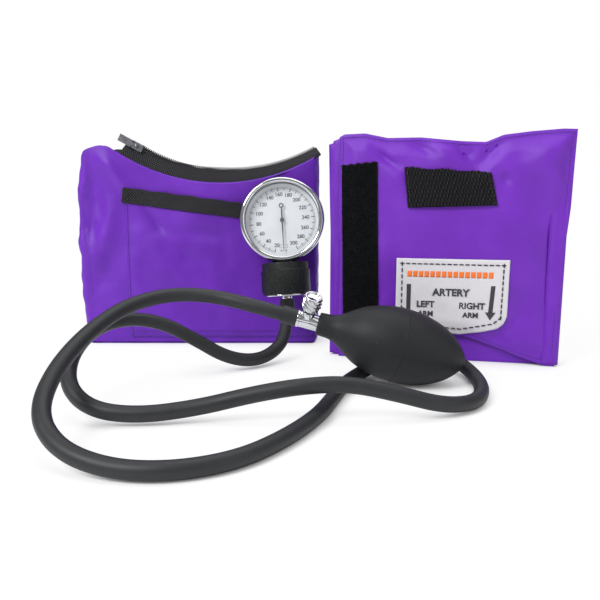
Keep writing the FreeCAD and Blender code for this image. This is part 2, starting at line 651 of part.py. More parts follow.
# ---------------------------------------------------------------- hoses
# Each route starts on the barb of its fitting and ends on its port under the cuff.
bulb_start = (valve * at("-valve_long - sleeve_long")).Base
gauge_start = (gauge * at(0, "housing_axis", sleeve_low)).Base
bulb_port = (cuff * at("port_bulb_at", "-port_out", "port_high")).Base
gauge_port = (cuff * at("port_gauge_at", "-port_out", "port_high")).Base
BULB_ROUTE = [(-33, -57.5, 45.2), (-55, -52, 49.5), (-78, -55, 51), (-97, -75, 48.5),
              (-109, -104, 40.5), (-116, -133, 29), (-115, -157, 17), (-101, -174, 8.5),
              (-79, -184, 4.6), (-54, -186, 4.2), (-29, -175, 4.2), (-10, -151, 4.2),
              (4, -124, 4.2), (12, -98, 4.2), (19, -75, 4.2), (29, -55, 4.2), (42, -39, 6.2),
              (49.4, -26, 9.3)]
GAUGE_ROUTE = [(-14, -5, 17), (-20, -16, 8), (-33, -29, 4.6), (-50, -36, 9), (-68, -39, 21),
               (-86, -43, 32), (-104, -54, 37), (-117, -74, 35), (-122, -96, 26),
               (-118, -114, 15), (-103, -126, 7.5), (-81, -127, 5), (-54, -122, 7),
               (-27, -121, 13.5), (-3, -122, 18), (19, -119, 18), (42, -119, 13),
               (64, -117, 6.5), (82, -107, 4.3), (91, -90, 4.2), (95, -68, 4.2), (94, -47, 5),
               (88, -33, 8)]


def hose(name, points):
    """A tube of straight runs joined by arcs that touch them, as large as the runs allow."""
    edges = []
    reached = points[0]
    least = 1e9
    for before, here, after in zip(points, points[1:], points[2:]):
        back = before - here
        on = after - here
        turn = math.pi - back.getAngle(on)
        reach = 0.45 * min(back.Length, on.Length)
        least = min(least, reach / math.tan(turn / 2))
        middle_way = back.normalize() + on.normalize()
        radius = reach / math.tan(turn / 2)
        inside = radius / math.cos(turn / 2) - radius
        start, end = here + back * reach, here + on * reach
        edges.append(Part.LineSegment(reached, start).toShape())
        edges.append(Part.Arc(start, here + middle_way.normalize() * inside, end).toShape())
        reached = end
    edges.append(Part.LineSegment(reached, points[-1]).toShape())
    path = doc.addObject("Part::Feature", name + "_path")
    path.Shape = Part.Wire(edges)
    mouth = bind(doc.addObject("Part::Circle", name + "_mouth"), Radius="hose_radius")
    mouth.Placement = Placement(points[0], Rotation(Vector(0, 0, 1), points[1] - points[0]))
    sweep = doc.addObject("Part::Sweep", name)
    sweep.Sections = [mouth]
    sweep.Spine = (path, ["Edge%d" % (i + 1) for i in range(len(edges))])
    sweep.Solid = True
    sweep.Frenet = False
    doc.recompute()
    expected = math.pi * number("hose_radius") ** 2 * path.Shape.Length
    print("%s: %.0f mm long, least bend radius %.1f mm, volume %.4f of section x length"
          % (name, path.Shape.Length, least, sweep.Shape.Volume / expected))
    node(sweep, name)


hose("bulb_hose", [bulb_start] + [Vector(*p) for p in BULB_ROUTE] + [bulb_port])
hose("gauge_hose", [gauge_start] + [Vector(*p) for p in GAUGE_ROUTE] + [gauge_port])

# ---------------------------------------------------------------- check and write
doc.recompute()
failed = [o.Label for o in doc.Objects if {"Invalid", "Error"} & set(o.State)]
failed += [name for name, thing in nodes.items() if thing.Shape.isNull() or not thing.Shape.isValid()]
if failed:
    raise SystemExit("failed: " + ", ".join(failed))
os.makedirs("parts", exist_ok=True)
for name, thing in nodes.items():
    thing.Shape.exportStep("parts/" + name + ".step")
print(len(nodes), "sub-parts written")
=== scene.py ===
# Aneroid blood pressure set: the looks of each piece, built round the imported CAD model.
# Sizes are millimetres in each piece's own frame, and the frames turn them into metres.
import json
import math
import bmesh
import bpy
import numpy as np
from mathutils import Matrix, Vector, noise
from mathutils.bvhtree import BVHTree


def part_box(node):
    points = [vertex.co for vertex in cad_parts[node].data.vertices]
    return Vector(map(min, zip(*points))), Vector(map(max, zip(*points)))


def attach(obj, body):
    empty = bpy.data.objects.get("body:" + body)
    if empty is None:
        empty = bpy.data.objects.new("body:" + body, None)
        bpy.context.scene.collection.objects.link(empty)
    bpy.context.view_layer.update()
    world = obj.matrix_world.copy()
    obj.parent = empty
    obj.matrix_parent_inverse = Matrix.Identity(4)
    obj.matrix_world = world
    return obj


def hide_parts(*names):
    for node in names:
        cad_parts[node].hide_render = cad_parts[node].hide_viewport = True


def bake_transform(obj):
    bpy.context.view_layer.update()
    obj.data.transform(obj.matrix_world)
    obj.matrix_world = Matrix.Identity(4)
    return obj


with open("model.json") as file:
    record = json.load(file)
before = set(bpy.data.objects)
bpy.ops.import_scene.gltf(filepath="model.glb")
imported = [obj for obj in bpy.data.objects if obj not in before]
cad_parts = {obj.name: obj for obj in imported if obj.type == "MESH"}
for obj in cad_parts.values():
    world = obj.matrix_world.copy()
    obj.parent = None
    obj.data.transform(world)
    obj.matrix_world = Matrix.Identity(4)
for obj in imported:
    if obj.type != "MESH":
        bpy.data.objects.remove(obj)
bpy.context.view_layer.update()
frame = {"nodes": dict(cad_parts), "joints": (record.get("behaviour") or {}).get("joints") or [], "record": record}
nodes, record = frame["nodes"], frame["record"]
joints = {joint["name"]: joint for joint in frame["joints"]}
mounts = {mount["name"]: mount for mount in record["mounts"]}
MM = 0.001

# ------------------------------------------------------------------ table, camera and light
# The set stands on a pale table under three large soft lamps. The table is almost white where
# the camera sees it, and keeps a soft shadow. Next to the objects it is darkened further by painted shade.
scene = bpy.context.scene
scene.view_settings.view_transform = "Standard"


def put(tree, kind, inputs=None, **settings):
    """A new node of that kind, or a node that is there already, with its settings and links."""
    made = tree.nodes.new(kind) if isinstance(kind, str) else kind
    for name, value in settings.items():
        setattr(made, name, value)
    for name, value in (inputs or {}).items():
        if isinstance(value, bpy.types.NodeSocket):
            tree.links.new(value, made.inputs[name])
        else:
            made.inputs[name].default_value = value
    return made


def tint(code):
    """An sRGB hex colour as linear red, green, blue and alpha."""
    parts = [int(code[i:i + 2], 16) / 255 for i in (1, 3, 5)]
    return [c / 12.92 if c <= 0.04045 else ((c + 0.055) / 1.055) ** 2.4 for c in parts] + [1.0]


def shown(name, data):
    """A new object with that data, linked into the scene."""
    made = bpy.data.objects.new(name, data)
    scene.collection.objects.link(made)
    return made


table_paint = bpy.data.materials.new("table_paint")
table_paint.use_nodes = True
tree = table_paint.node_tree
seen = put(tree, "ShaderNodeLightPath")
matte = put(tree, "ShaderNodeBsdfDiffuse", {"Color": tint("#f4f4f5")})
glow = put(tree, "ShaderNodeEmission", {"Color": tint("#ffffff"), "Strength": 1.0})
WHITE_NEAR, WHITE_FAR, FADE_FROM, FADE_TO, NOOK_REACH = 0.93, 1.0, 0.2, 0.7, 0.02
spot = put(tree, "ShaderNodeTexCoord").outputs["Object"]
away = put(tree, "ShaderNodeVectorMath", {0: spot}, operation="LENGTH")
whitened = put(tree, "ShaderNodeMapRange", {"Value": away.outputs["Value"], "From Min": FADE_FROM,
                                            "From Max": FADE_TO, "To Min": WHITE_NEAR, "To Max": WHITE_FAR})
# Ambient occlusion lowers the glow in the nooks next to the objects: a painted contact shade.
nook = put(tree, "ShaderNodeAmbientOcclusion", {"Distance": NOOK_REACH})
open_share = put(tree, "ShaderNodeMath", {0: nook.outputs["AO"], 1: whitened.outputs[0]},
                 operation="MULTIPLY")
share = put(tree, "ShaderNodeMath", {0: seen.outputs["Is Camera Ray"], 1: open_share.outputs[0]},
            operation="MULTIPLY")
mixed = put(tree, "ShaderNodeMixShader", {0: share.outputs[0], 1: matte.outputs[0], 2: glow.outputs[0]})
put(tree, tree.nodes["Material Output"], {"Surface": mixed.outputs[0]})
TABLE_SIDE = 6.0
corners = [(x * TABLE_SIDE, y * TABLE_SIDE, 0) for x, y in ((-1, -1), (1, -1), (1, 1), (-1, 1))]
table_mesh = bpy.data.meshes.new("table")
table_mesh.from_pydata(corners, [], [(0, 1, 2, 3)])
table_mesh.materials.append(table_paint)
shown("table", table_mesh)

scene.world = bpy.data.worlds.new("room")
scene.world.use_nodes = True
tree = scene.world.node_tree
seen = put(tree, "ShaderNodeLightPath")
camera_or_gloss = put(tree, "ShaderNodeMath", {0: seen.outputs["Is Camera Ray"],
                      1: seen.outputs["Is Transmission Ray"]}, operation="MAXIMUM")
ROOM, BACKDROP = 0.27, 1.0
strength = put(tree, "ShaderNodeMapRange", {"Value": camera_or_gloss.outputs[0],
                                            "To Min": ROOM, "To Max": BACKDROP})
put(tree, tree.nodes["Background"], {"Color": tint("#ffffff"), "Strength": strength.outputs[0]})

# name: place in metres, side in metres, watts
LAMPS = {"window": ((-0.75, -0.75, 0.95), 0.55, 16.5), "fill": ((0.9, -0.7, 0.55), 0.9, 2.6),
         "ceiling": ((0.1, 0.25, 1.2), 1.2, 9.0)}
LIT_POINT = Vector((0, 0, 0.06))
for name, (place, side, watts) in LAMPS.items():
    lamp = bpy.data.lights.new(name, "AREA")
    lamp.size, lamp.energy = side, watts
    held = shown(name, lamp)
    held.location = place
    held.rotation_euler = (LIT_POINT - Vector(place)).to_track_quat("-Z", "Y").to_euler()

CAMERA_AT, CAMERA_DOWN, LENS = (-0.00495, -0.41265, 0.109), 9.76, 38.4
camera = shown("camera", bpy.data.cameras.new("camera"))
camera.location = CAMERA_AT
camera.rotation_euler = (math.radians(90 - CAMERA_DOWN), 0, 0)
camera.data.sensor_width, camera.data.lens = 36.0, LENS
camera.data.clip_start = 0.01
scene.camera = camera

# ------------------------------------------------------------------ hoses
# Two lengths of extruded black rubber hose, 8 mm across. One runs from the release valve and one
# from the gauge, round over the table, to the two ports under the cuff's bladder.


def placed(origin, along_y, along_z):
    """The frame with that origin, in metres, and those two axes. Its own unit is a millimetre."""
    y, z = Vector(along_y).normalized(), Vector(along_z).normalized()
    turn = Matrix((y.cross(z), y, z)).transposed().to_4x4()
    return Matrix.Translation(origin) @ turn @ Matrix.Scale(MM, 4)


def out_of(joint):
    return Vector(joints[joint]["axis"])


gauge = placed(joints["pointer_turn"]["pos_m"], out_of("pointer_turn"), out_of("push_rod_lift"))
SCREW_AT = -6.5
knob_centre = Vector(joints["thumbscrew_turn"]["pos_m"])
bulb_x = -out_of("delivery_disc_lift")
neck_mouth = knob_centre - (bulb_x * SCREW_AT + out_of("needle_travel") * 10) * MM
valve = placed(neck_mouth, out_of("needle_travel").cross(bulb_x), out_of("needle_travel"))
bulb = placed(neck_mouth, (-out_of("bulb_squeeze")).cross(bulb_x), -out_of("bulb_squeeze"))
CUFF_WIDTH, CUFF_HIGH, FIRST_HINGE = 137.0, 145.0, 5.0
cuff_back = -Vector(mounts["arm_wrap"]["axis"])
cuff_along = cuff_back.cross(Vector((0, 0, 1)))
cuff_corner = Vector(joints["second_fold_open"]["pos_m"]) - (cuff_along * CUFF_WIDTH
                                                             + cuff_back * FIRST_HINGE) * MM
cuff = placed(cuff_corner, cuff_back, (0, 0, 1))


def finish(name, sockets):
    """A new material, its tree and its shader, with those plain values on the shader."""
    made = bpy.data.materials.new(name)
    made.use_nodes = True
    shader = made.node_tree.nodes["Principled BSDF"]
    return made, made.node_tree, put(made.node_tree, shader, sockets)


def clouds(tree, scale, detail):
    """Noise read from where a point lies on the object."""
    where = put(tree, "ShaderNodeTexCoord").outputs["Object"]
    return put(tree, "ShaderNodeTexNoise", {"Vector": where, "Scale": scale, "Detail": detail}).outputs["Fac"]


def mottled(name, sockets, scale, detail, dark, bright, stops=(0.0, 1.0)):
    """A material between two colours, its tree, its shader, the noise between them and its colour."""
    made, tree, shader = finish(name, sockets)
    patches = clouds(tree, scale, detail)
    shade = put(tree, "ShaderNodeValToRGB", {"Fac": patches})
    for stop, at, colour in zip(shade.color_ramp.elements, stops, (dark, bright)):
        stop.position, stop.color = at, tint(colour) if isinstance(colour, str) else colour
    put(tree, shader, {"Base Color": shade.outputs["Color"]})
    return made, tree, shader, patches, shade.outputs["Color"]


def embossed(tree, shader, height, strength, distance):
    """Relief from a height, on the shader."""
    relief = put(tree, "ShaderNodeBump", {"Height": height, "Strength": strength, "Distance": distance})
    put(tree, shader, {"Normal": relief.outputs["Normal"]})


def roughened(tree, shader, value, low, high, limits=(0.0, 1.0)):
    """Roughness between two values, where the given value runs between its limits."""
    dull = put(tree, "ShaderNodeMapRange", {"Value": value, "From Min": limits[0], "From Max": limits[1],
                                            "To Min": low, "To Max": high})
    put(tree, shader, {"Roughness": dull.outputs[0]})


# Extruded butyl rubber: a dull skin with a faint bloom of dust and very fine pores.
rubber, tree, shader, cloudy, _ = mottled("extruded_rubber", {"Roughness": 0.5, "IOR": 1.52,
                                          "Specular IOR Level": 0.35}, 60.0, 3.0, "#1f2022", "#2c2e30")
embossed(tree, shader, clouds(tree, 2200.0, 2.0), 0.18, 0.0001)
roughened(tree, shader, cloudy, 0.42, 0.6)


def faced(made, material):
    """The object with that material in place of its own."""
    made.data.materials.clear()
    made.data.materials.append(material)
    return made


def dress(material, *names):
    """Give CAD nodes that material in place of their own."""
    for name in names:
        faced(nodes[name], material)


HOSE_THICK, PORT_OUT, PORT_HIGH = 8.0, -9.0, 10.5
# name: length, start, its port's place along the cuff, sleeves at its ends, points it runs by
HOSES = {
    "bulb_hose": (460, valve @ Vector((-21, 0, 0)), 34, ("bulb_hose_end", "bulb_port_hose_end"), [
        (-33, -57.5, 45.2), (-55, -52, 49.5), (-78, -55, 51), (-97, -75, 48.5),
        (-109, -104, 40.5), (-116, -133, 29), (-115, -157, 17), (-101, -174, 8.5),
        (-79, -184, 4.6), (-54, -186, 4.2), (-29, -175, 4.2), (-10, -151, 4.2),
        (4, -124, 4.2), (12, -98, 4.2), (19, -75, 4.2), (29, -55, 4.2), (42, -39, 6.2),
        (49.4, -26, 9.3)]),
    "gauge_hose": (502, gauge @ Vector((0, 10, -61)), 66, ("gauge_hose_end", "gauge_port_hose_end"), [
        (-14, -5, 17), (-20, -16, 8), (-33, -29, 4.6), (-50, -36, 9), (-68, -39, 21),
        (-86, -43, 32), (-104, -54, 37), (-117, -74, 35), (-122, -96, 26),
        (-118, -114, 15), (-103, -126, 7.5), (-81, -127, 5), (-54, -122, 7),
        (-27, -121, 13.5), (-3, -122, 18), (19, -119, 18), (42, -119, 13),
        (64, -117, 6.5), (82, -107, 4.3), (91, -90, 4.2), (95, -68, 4.2), (94, -47, 5),
        (88, -33, 8)]),
}
for name, (long, start, port_at, ends, route) in HOSES.items():
    port = cuff @ Vector((port_at, PORT_OUT, PORT_HIGH))
    points = [start] + [Vector(p) * MM for p in route] + [port]
    line = bpy.data.curves.new(name + "_rubber", "CURVE")
    line.dimensions = "3D"
    run = line.splines.new("NURBS")
    run.points.add(len(points) - 1)
    for control, point in zip(run.points, points):
        control.co = (*point, 1)
    run.order_u = 3
    run.use_endpoint_u = True
    line.resolution_u = 16
    line.bevel_depth = HOSE_THICK / 2 * MM
    line.bevel_resolution = 8
    line.materials.append(rubber)
    hose = shown(name + "_rubber", line)
    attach(hose, "cuff")
    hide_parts(name)
    dress(rubber, *ends)
# The bladder's two stems are moulded with it, and turn forward under the cuff's arch.
dress(rubber, "bladder", "delivery_disc", "lens_gasket", "bulb_port", "gauge_port")

# ------------------------------------------------------------------ gauge body
# The case and the capsule housing are one pressing, painted with black crackle enamel. A chrome
# ring is pressed over the front, and a chrome plate and hose nipple close the housing below.


def arc_corners(points, radius, closed=True, steps=5):
    """The outline with each corner turned into a small arc."""
    rounded = []
    count = len(points)
    for i, corner in enumerate(points):
        here = Vector(corner)
        if not closed and i in (0, count - 1):
            rounded.append(here)
            continue
        back, on = Vector(points[i - 1]) - here, Vector(points[(i + 1) % count]) - here
        reach = min(radius, 0.45 * back.length, 0.45 * on.length)
        first, last = here + back.normalized() * reach, here + on.normalized() * reach
        for k in range(steps + 1):
            t = k / steps
            rounded.append(first * (1 - t) ** 2 + here * 2 * t * (1 - t) + last * t * t)
    return rounded


def merged(mesh, reach=1e-6):
    """The mesh with points that lie together made one, and its faces turned outwards."""
    joined = bmesh.new()
    joined.from_mesh(mesh)
    bmesh.ops.remove_doubles(joined, verts=joined.verts, dist=reach)
    bmesh.ops.recalc_face_normals(joined, faces=joined.faces)
    joined.to_mesh(mesh)
    joined.free()
    return mesh


def shaded(mesh, smooth=True):
    for face in mesh.polygons:
        face.use_smooth = smooth


def piece(name, points, faces, material, place, body, slot, replaces=(), smooth=True):
    """A mesh from points in its frame, put in place, shaded and tied to its body."""
    mesh = bpy.data.meshes.new(name)
    mesh.from_pydata([place @ Vector(p) for p in points], [], faces)
    merged(mesh).materials.append(material)
    shaded(mesh, smooth)
    return tie(shown(name, mesh), body, replaces)


def tie(made, body, replaces=()):
    """The piece with its body and the nodes it stands for. A blended one has no body here."""
    if body:
        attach(made, body)
    if replaces:
        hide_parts(*replaces)
    return made


def quads(rows, columns, around=True, rows_meet=False):
    """Faces between rows of points. A row may close on itself, and the last row may meet the first."""
    faces = []
    for i in range(rows if rows_meet else rows - 1):
        here, after = i * columns, (i + 1) % rows * columns
        for k in range(columns if around else columns - 1):
            n = (k + 1) % columns
            faces.append((here + k, here + n, after + n, after + k))
    return faces


def lathed(outline, axis, sides=96, closed=False):
    """Points and faces of an outline of (radius, along) turned about an axis of its frame."""
    points = []
    for i in range(sides):
        angle = 2 * math.pi * i / sides
        for radius, along in outline:
            across, up = radius * math.cos(angle), radius * math.sin(angle)
            points.append({"x": (along, across, up), "y": (across, along, up),
                           "z": (across, up, along)}[axis])
    return points, quads(sides, len(outline), closed, True)


WELD_REACH, SHARP_FROM = 0.00002, 40


def soften(name, radius):
    """Round a CAD node's sharp edges: its loose triangles are welded first."""
    welded = nodes[name].modifiers.new("welded", "WELD")
    welded.merge_threshold = WELD_REACH
    softened = nodes[name].modifiers.new("softened", "BEVEL")
    softened.width, softened.segments = radius * MM, 2
    softened.limit_method, softened.angle_limit = "ANGLE", math.radians(SHARP_FROM)


# Crackle enamel over steel: black paint that wrinkles into fine grains as it bakes.
crackle, tree, shader, grit, _ = mottled("black_crackle_enamel", {"Roughness": 0.42, "IOR": 1.5,
                                         "Specular IOR Level": 0.25, "Coat Weight": 0.08,
                                         "Coat Roughness": 0.25}, 1600.0, 3.0, "#070909", "#3a4241",
                                         (0.5, 0.8))
where = put(tree, "ShaderNodeTexCoord").outputs["Object"]
grains = put(tree, "ShaderNodeTexVoronoi", {"Vector": where, "Scale": 1100.0})
height = put(tree, "ShaderNodeMath", {0: grains.outputs["Distance"], 1: grit}, operation="ADD")
embossed(tree, shader, height.outputs[0], 0.9, 0.0004)
dress(crackle, "gauge_case")
soften("gauge_case", 0.5)

# Chrome on brass: a mirror with a slight blue-grey cast, hazed by handling.
chrome, tree, shader = finish("polished_chrome", {"Base Color": tint("#d3d5d8"), "Metallic": 1.0})
roughened(tree, shader, clouds(tree, 180.0, 4.0), 0.06, 0.16, (0.35, 0.75))
BEZEL = [(24.4, 1.6), (24.4, 0.9), (25.2, 0.2), (26.3, 0), (27.4, 0.6), (28, 2.2), (28, 9), (26.85, 9),
         (26.85, 1.6)]
piece("bezel_ring", *lathed(arc_corners(BEZEL, 0.7), "y", 128, True), chrome, gauge, "cuff", "chrome",
      ["gauge_bezel"])
BASE_PLATE = [(0.01, -50.5), (15.1, -50.5), (15.3, -50.2), (15.3, -49.7), (15.1, -49.5), (3, -49.5),
              (3, -46.6), (0.01, -46.6)]
below = gauge @ Matrix.Translation((0, 10, 0))
piece("base_plate", *lathed(arc_corners(BASE_PLATE, 0.3, False, 3), "z"), chrome, below, "cuff",
      "chrome", ["gauge_base"])
NIPPLE = [(0.01, -50.5), (3.6, -50.5), (3.6, -52.5), (2.4, -52.5), (2.4, -61), (0.01, -61)]
piece("hose_nipple", *lathed(arc_corners(NIPPLE, 0.3, False, 3), "z", 48), chrome, below, "cuff",
      "chrome", ["gauge_nipple"])
dress(chrome, "gauge_clip", "delivery_seat", "intake_ball", "release_needle")

# ------------------------------------------------------------------ movement
# Turned and stamped brass behind the dial: two plates, the pinion and sector, a hairspring, the
# push rod and the bellows capsule. It is seen only where the dial is opened.
brass, tree, shader, _, _ = mottled("turned_brass", {"Metallic": 1.0, "Roughness": 0.28}, 300.0, 4.0,
                                    "#a8813c", "#d9b766")
where = put(tree, "ShaderNodeTexCoord").outputs["Object"]
turning = put(tree, "ShaderNodeTexWave", {"Vector": where, "Scale": 900.0, "Distortion": 1.0})
embossed(tree, shader, turning.outputs["Fac"], 0.15, 0.0001)
dress(brass, "pointer_arbor", "sector_gear", "movement_front_plate", "movement_back_plate",
      "movement_pillars", "hairspring", "bellows_capsule", "push_rod")

# ------------------------------------------------------------------ dial
# An aluminium plate sprayed pale grey and printed in black, in a polished rim. Long ticks stand
# every ten millimetres of mercury and short ones every two, from 20 to 300.
dial_paint = mottled("sprayed_dial", {"Roughness": 0.42, "IOR": 1.5}, 90.0, 5.0, "#cfd3d8", "#e3e6ea")[0]
dress(dial_paint, "dial_plate")
# The rim between the lens and the dial is bright spun aluminium.
rim_metal, tree, shader = finish("spun_aluminium", {"Metallic": 1.0, "Base Color": tint("#c9cbce")})
roughened(tree, shader, clouds(tree, 400.0, 3.0), 0.12, 0.3)
dress(rim_metal, "dial_ring")
# Screen-printed black ink, flat and a little uneven.
ink = mottled("printing_ink", {"Roughness": 0.6}, 1500.0, 2.0, "#1b1b1d", "#333336")[0]


def repeat_tree(name, per_point):
    """A tree with a count, that repeats a seed mesh on points and gives it a material."""
    tree = bpy.data.node_groups.new(name, "GeometryNodeTree")
    sockets = [("Geometry", "INPUT", "NodeSocketGeometry"), ("Geometry", "OUTPUT", "NodeSocketGeometry"),
               ("Finish", "INPUT", "NodeSocketMaterial")] + per_point
    for socket, way, kind in sockets:
        tree.interface.new_socket(socket, in_out=way, socket_type=kind)
    return tree, put(tree, "NodeGroupInput"), put(tree, "NodeGroupOutput")


def realised(tree, copies, given, result):
    """The end of a repeating tree: real geometry with the finish on it."""
    solid = put(tree, "GeometryNodeRealizeInstances", {"Geometry": copies})
    coloured = put(tree, "GeometryNodeSetMaterial", {"Geometry": solid.outputs[0],
                                                     "Material": given.outputs["Finish"]})
    put(tree, result, {"Geometry": coloured.outputs[0]})


# Copies of the piece's own mesh, turned one after another about its frame's Y axis.
round_tree, given, result = repeat_tree("turned_copies", [("Count", "INPUT", "NodeSocketInt"),
                                        ("Step", "INPUT", "NodeSocketFloat")])
spots = put(round_tree, "GeometryNodePoints", {"Count": given.outputs["Count"]})
number = put(round_tree, "GeometryNodeInputIndex")
angle = put(round_tree, "ShaderNodeMath", {0: number.outputs[0], 1: given.outputs["Step"]},
            operation="MULTIPLY")
turn = put(round_tree, "ShaderNodeCombineXYZ", {"Y": angle.outputs[0]})
copies = put(round_tree, "GeometryNodeInstanceOnPoints", {"Points": spots.outputs[0],
             "Instance": given.outputs["Geometry"], "Rotation": turn.outputs[0]})
realised(round_tree, copies.outputs[0], given, result)


def grown(seed, tree, inputs, place):
    """The result of a tree on a seed object, as a plain mesh with its place in its vertices."""
    worker = seed.modifiers.new("grown", "NODES")
    worker.node_group = tree
    for item in tree.interface.items_tree:
        if item.item_type == "SOCKET" and item.in_out == "INPUT" and item.name in inputs:
            worker[item.identifier] = inputs[item.name]
    bpy.context.view_layer.update()
    ready = seed.evaluated_get(bpy.context.evaluated_depsgraph_get())
    mesh = bpy.data.meshes.new_from_object(ready)
    seed.modifiers.remove(worker)
    mesh.transform(place)
    made = shown(seed.name, mesh)
    bpy.data.objects.remove(seed)
    return made


def seed_of(name, points, faces):
    """A plain object for a tree to repeat or to grow on."""
    mesh = bpy.data.meshes.new(name)
    mesh.from_pydata(points, [], faces)
    return shown(name, mesh)


BOX_FACES = [(0, 3, 2, 1), (4, 5, 6, 7), (0, 1, 5, 4), (1, 2, 6, 5), (2, 3, 7, 6), (3, 0, 4, 7)]


def bar(low, high):
    """The corners of a bar between two opposite corners."""
    (a, b, c), (d, e, f) = low, high
    return [(a, b, c), (d, b, c), (d, e, c), (a, e, c), (a, b, f), (d, b, f), (d, e, f), (a, e, f)]


DIAL_AT, INK_THICK = 7.0, 0.05
FIRST_MARK, DEGREES_EACH = 16.0, 1.139
LOWEST, HIGHEST = 20, 300


def dial_turn(pressure):
    """How far round from the bottom a pressure stands, clockwise."""
    return FIRST_MARK + (pressure - LOWEST) * DEGREES_EACH


# name: outer and inner end, width, first pressure, pressure between ticks
TICKS = {"long_ticks": (22.1, 19.8, 0.42, 20, 10), "short_ticks": (22.1, 20.9, 0.16, 20, 2),
         "even_ticks": (22.1, 19.4, 0.5, 20, 20)}
for name, (outer, inner, wide, first, each) in TICKS.items():
    corners = bar((-wide / 2, DIAL_AT - INK_THICK, -outer), (wide / 2, DIAL_AT, -inner))
    values = {"Count": (HIGHEST - first) // each + 1, "Step": math.radians(each * DEGREES_EACH), "Finish": ink}
    marks = grown(seed_of(name, corners, BOX_FACES), round_tree, values,
                  gauge @ Matrix.Rotation(math.radians(dial_turn(first)), 4, "Y"))
    tie(faced(marks, ink), "cuff")


def dial_arc(name, radius, wide, first, last):
    """A thin printed arc between two angles round from the bottom."""
    steps = 120
    points = []
    for i in range(steps + 1):
        a = math.radians(first + (last - first) * i / steps)
        for r, y in ((radius, 0), (radius + wide, 0), (radius + wide, INK_THICK), (radius, INK_THICK)):
            points.append((-r * math.sin(a), DIAL_AT - y, -r * math.cos(a)))
    faces = quads(steps + 1, 4) + [(0, 1, 2, 3), tuple(4 * steps + k for k in (3, 2, 1, 0))]
    return piece(name, points, faces, ink, gauge, "cuff", "black_pointer", smooth=False)


dial_arc("outer_scale_arc", 22.0, 0.1, dial_turn(LOWEST), dial_turn(HIGHEST))
dial_arc("inner_scale_arc", 20.85, 0.07, dial_turn(LOWEST), dial_turn(HIGHEST))


def flat_text(name, words, size, place, material, body, deep=INK_THICK):
    """Printed figures as a thin mesh, centred on their place."""
    type_curve = bpy.data.curves.new(name, "FONT")
    type_curve.body, type_curve.size = words, size
    type_curve.align_x, type_curve.align_y = "CENTER", "CENTER"
    type_curve.extrude, type_curve.offset = deep / 2, size * 0.03
    type_curve.resolution_u = 4
    made = shown(name, type_curve)
    bpy.context.view_layer.update()
    mesh = bpy.data.meshes.new_from_object(made.evaluated_get(bpy.context.evaluated_depsgraph_get()))
    bpy.data.objects.remove(made)
    mesh.transform(place)
    return tie(faced(shown(name, mesh), material), body)


UPRIGHT = Matrix.Rotation(math.radians(90), 4, "X")
FIGURES_AT, FIGURE_HIGH = 17.2, 3.4
for pressure in range(LOWEST, HIGHEST + 1, 20):
    a = math.radians(dial_turn(pressure))
    wider = 1.0 + 0.5 * abs(math.sin(a))
    spot = Vector((-(FIGURES_AT - wider) * math.sin(a), DIAL_AT - INK_THICK / 2, -(FIGURES_AT) * math.cos(a)))
    flat_text("figures_%d" % pressure, str(pressure), FIGURE_HIGH,
              gauge @ Matrix.Translation(spot) @ UPRIGHT, ink, "cuff")
# The zero box is a small outline at the foot of the dial, with a fine bar under it.
ZERO_BOX = [((-2.7, -18.4), (2.7, -18.25)), ((-2.7, -16.5), (2.7, -16.35)), ((-2.7, -18.4), (-2.55, -16.35)),
            ((2.55, -18.4), (2.7, -16.35)), ((-2.4, -20.2), (-0.7, -20.0)), ((0.7, -20.2), (2.4, -20.0)),
            ((-1.7, -20.9), (-1.5, -19.4)), ((1.5, -20.9), (1.7, -19.4))]
points, faces = [], []
for (x0, z0), (x1, z1) in ZERO_BOX:
    faces += [tuple(len(points) + k for k in face) for face in BOX_FACES]
    points += bar((x0, DIAL_AT - INK_THICK, z0), (x1, DIAL_AT, z1))
piece("zero_box", points, faces, ink, gauge, "cuff", "black_pointer", smooth=False)

# ------------------------------------------------------------------ pointer and lens
# The pointer is a blued steel needle on a turned hub, with a small ring on its tail. A clear
# acrylic lens covers it.
blued = mottled("blued_steel", {"Metallic": 0.85, "Roughness": 0.35}, 700.0, 2.0, "#26282b", "#44474b")[0]
dress(blued, "pointer")
HUB = [(0.01, 3.9), (0.7, 3.9), (1.3, 4.25), (1.5, 4.69), (0.01, 4.69)]
piece("pointer_cap", *lathed(arc_corners(HUB, 0.25, False, 3), "y", 32), blued, gauge, "pointer",
      "black_pointer")

acrylic, tree, shader = finish("clear_acrylic", {"Base Color": tint("#f4f8fa"), "Alpha": 0.06, "IOR": 1.49,
                               "Specular IOR Level": 0.5})
roughened(tree, shader, clouds(tree, 120.0, 3.0), 0.02, 0.08)
dress(acrylic, "gauge_lens")

# ------------------------------------------------------------------ release valve
# A chrome-plated brass body joins the hose to the bulb. The thumbscrew on its boss is turned brass
# with seven coarse spiral ridges, and a dished top.
dress(chrome, "valve_body")
soften("valve_body", 0.3)
# The collar is the turned ring at the hose end of the body.
COLLAR = [(4.6, -12.5), (4.95, -12.3), (4.95, -10.9), (4.6, -10.7)]
piece("valve_collar", *lathed(arc_corners(COLLAR, 0.2, True, 3), "x", 64, True), chrome, valve, "cuff",
      "chrome")

knob = placed(valve @ Vector((SCREW_AT, 0, 0)), out_of("needle_travel"), bulb_x)
KNOB_CORE = [(1.8, 9.3), (1.8, 7.2), (3.2, 7.2), (3.7, 8.6), (4.9, 9.3), (4.9, 16.3), (4.7, 17.3),
             (3.9, 17.4), (3.4, 16.2), (0.01, 16.0), (0.01, 9.4)]
piece("thumbscrew_core", *lathed(arc_corners(KNOB_CORE, 0.35, True, 3), "y", 64, True), chrome, knob,
      "thumbscrew", "chrome", ["thumbscrew"])
RIDGES, RIDGE_LOW, RIDGE_TOP, RIDGE_TURN = 7, 8.9, 16.9, 165.0
RIDGE_WIDE, RIDGE_OUT, CORE_SKIN = 1.9, 5.6, 4.6


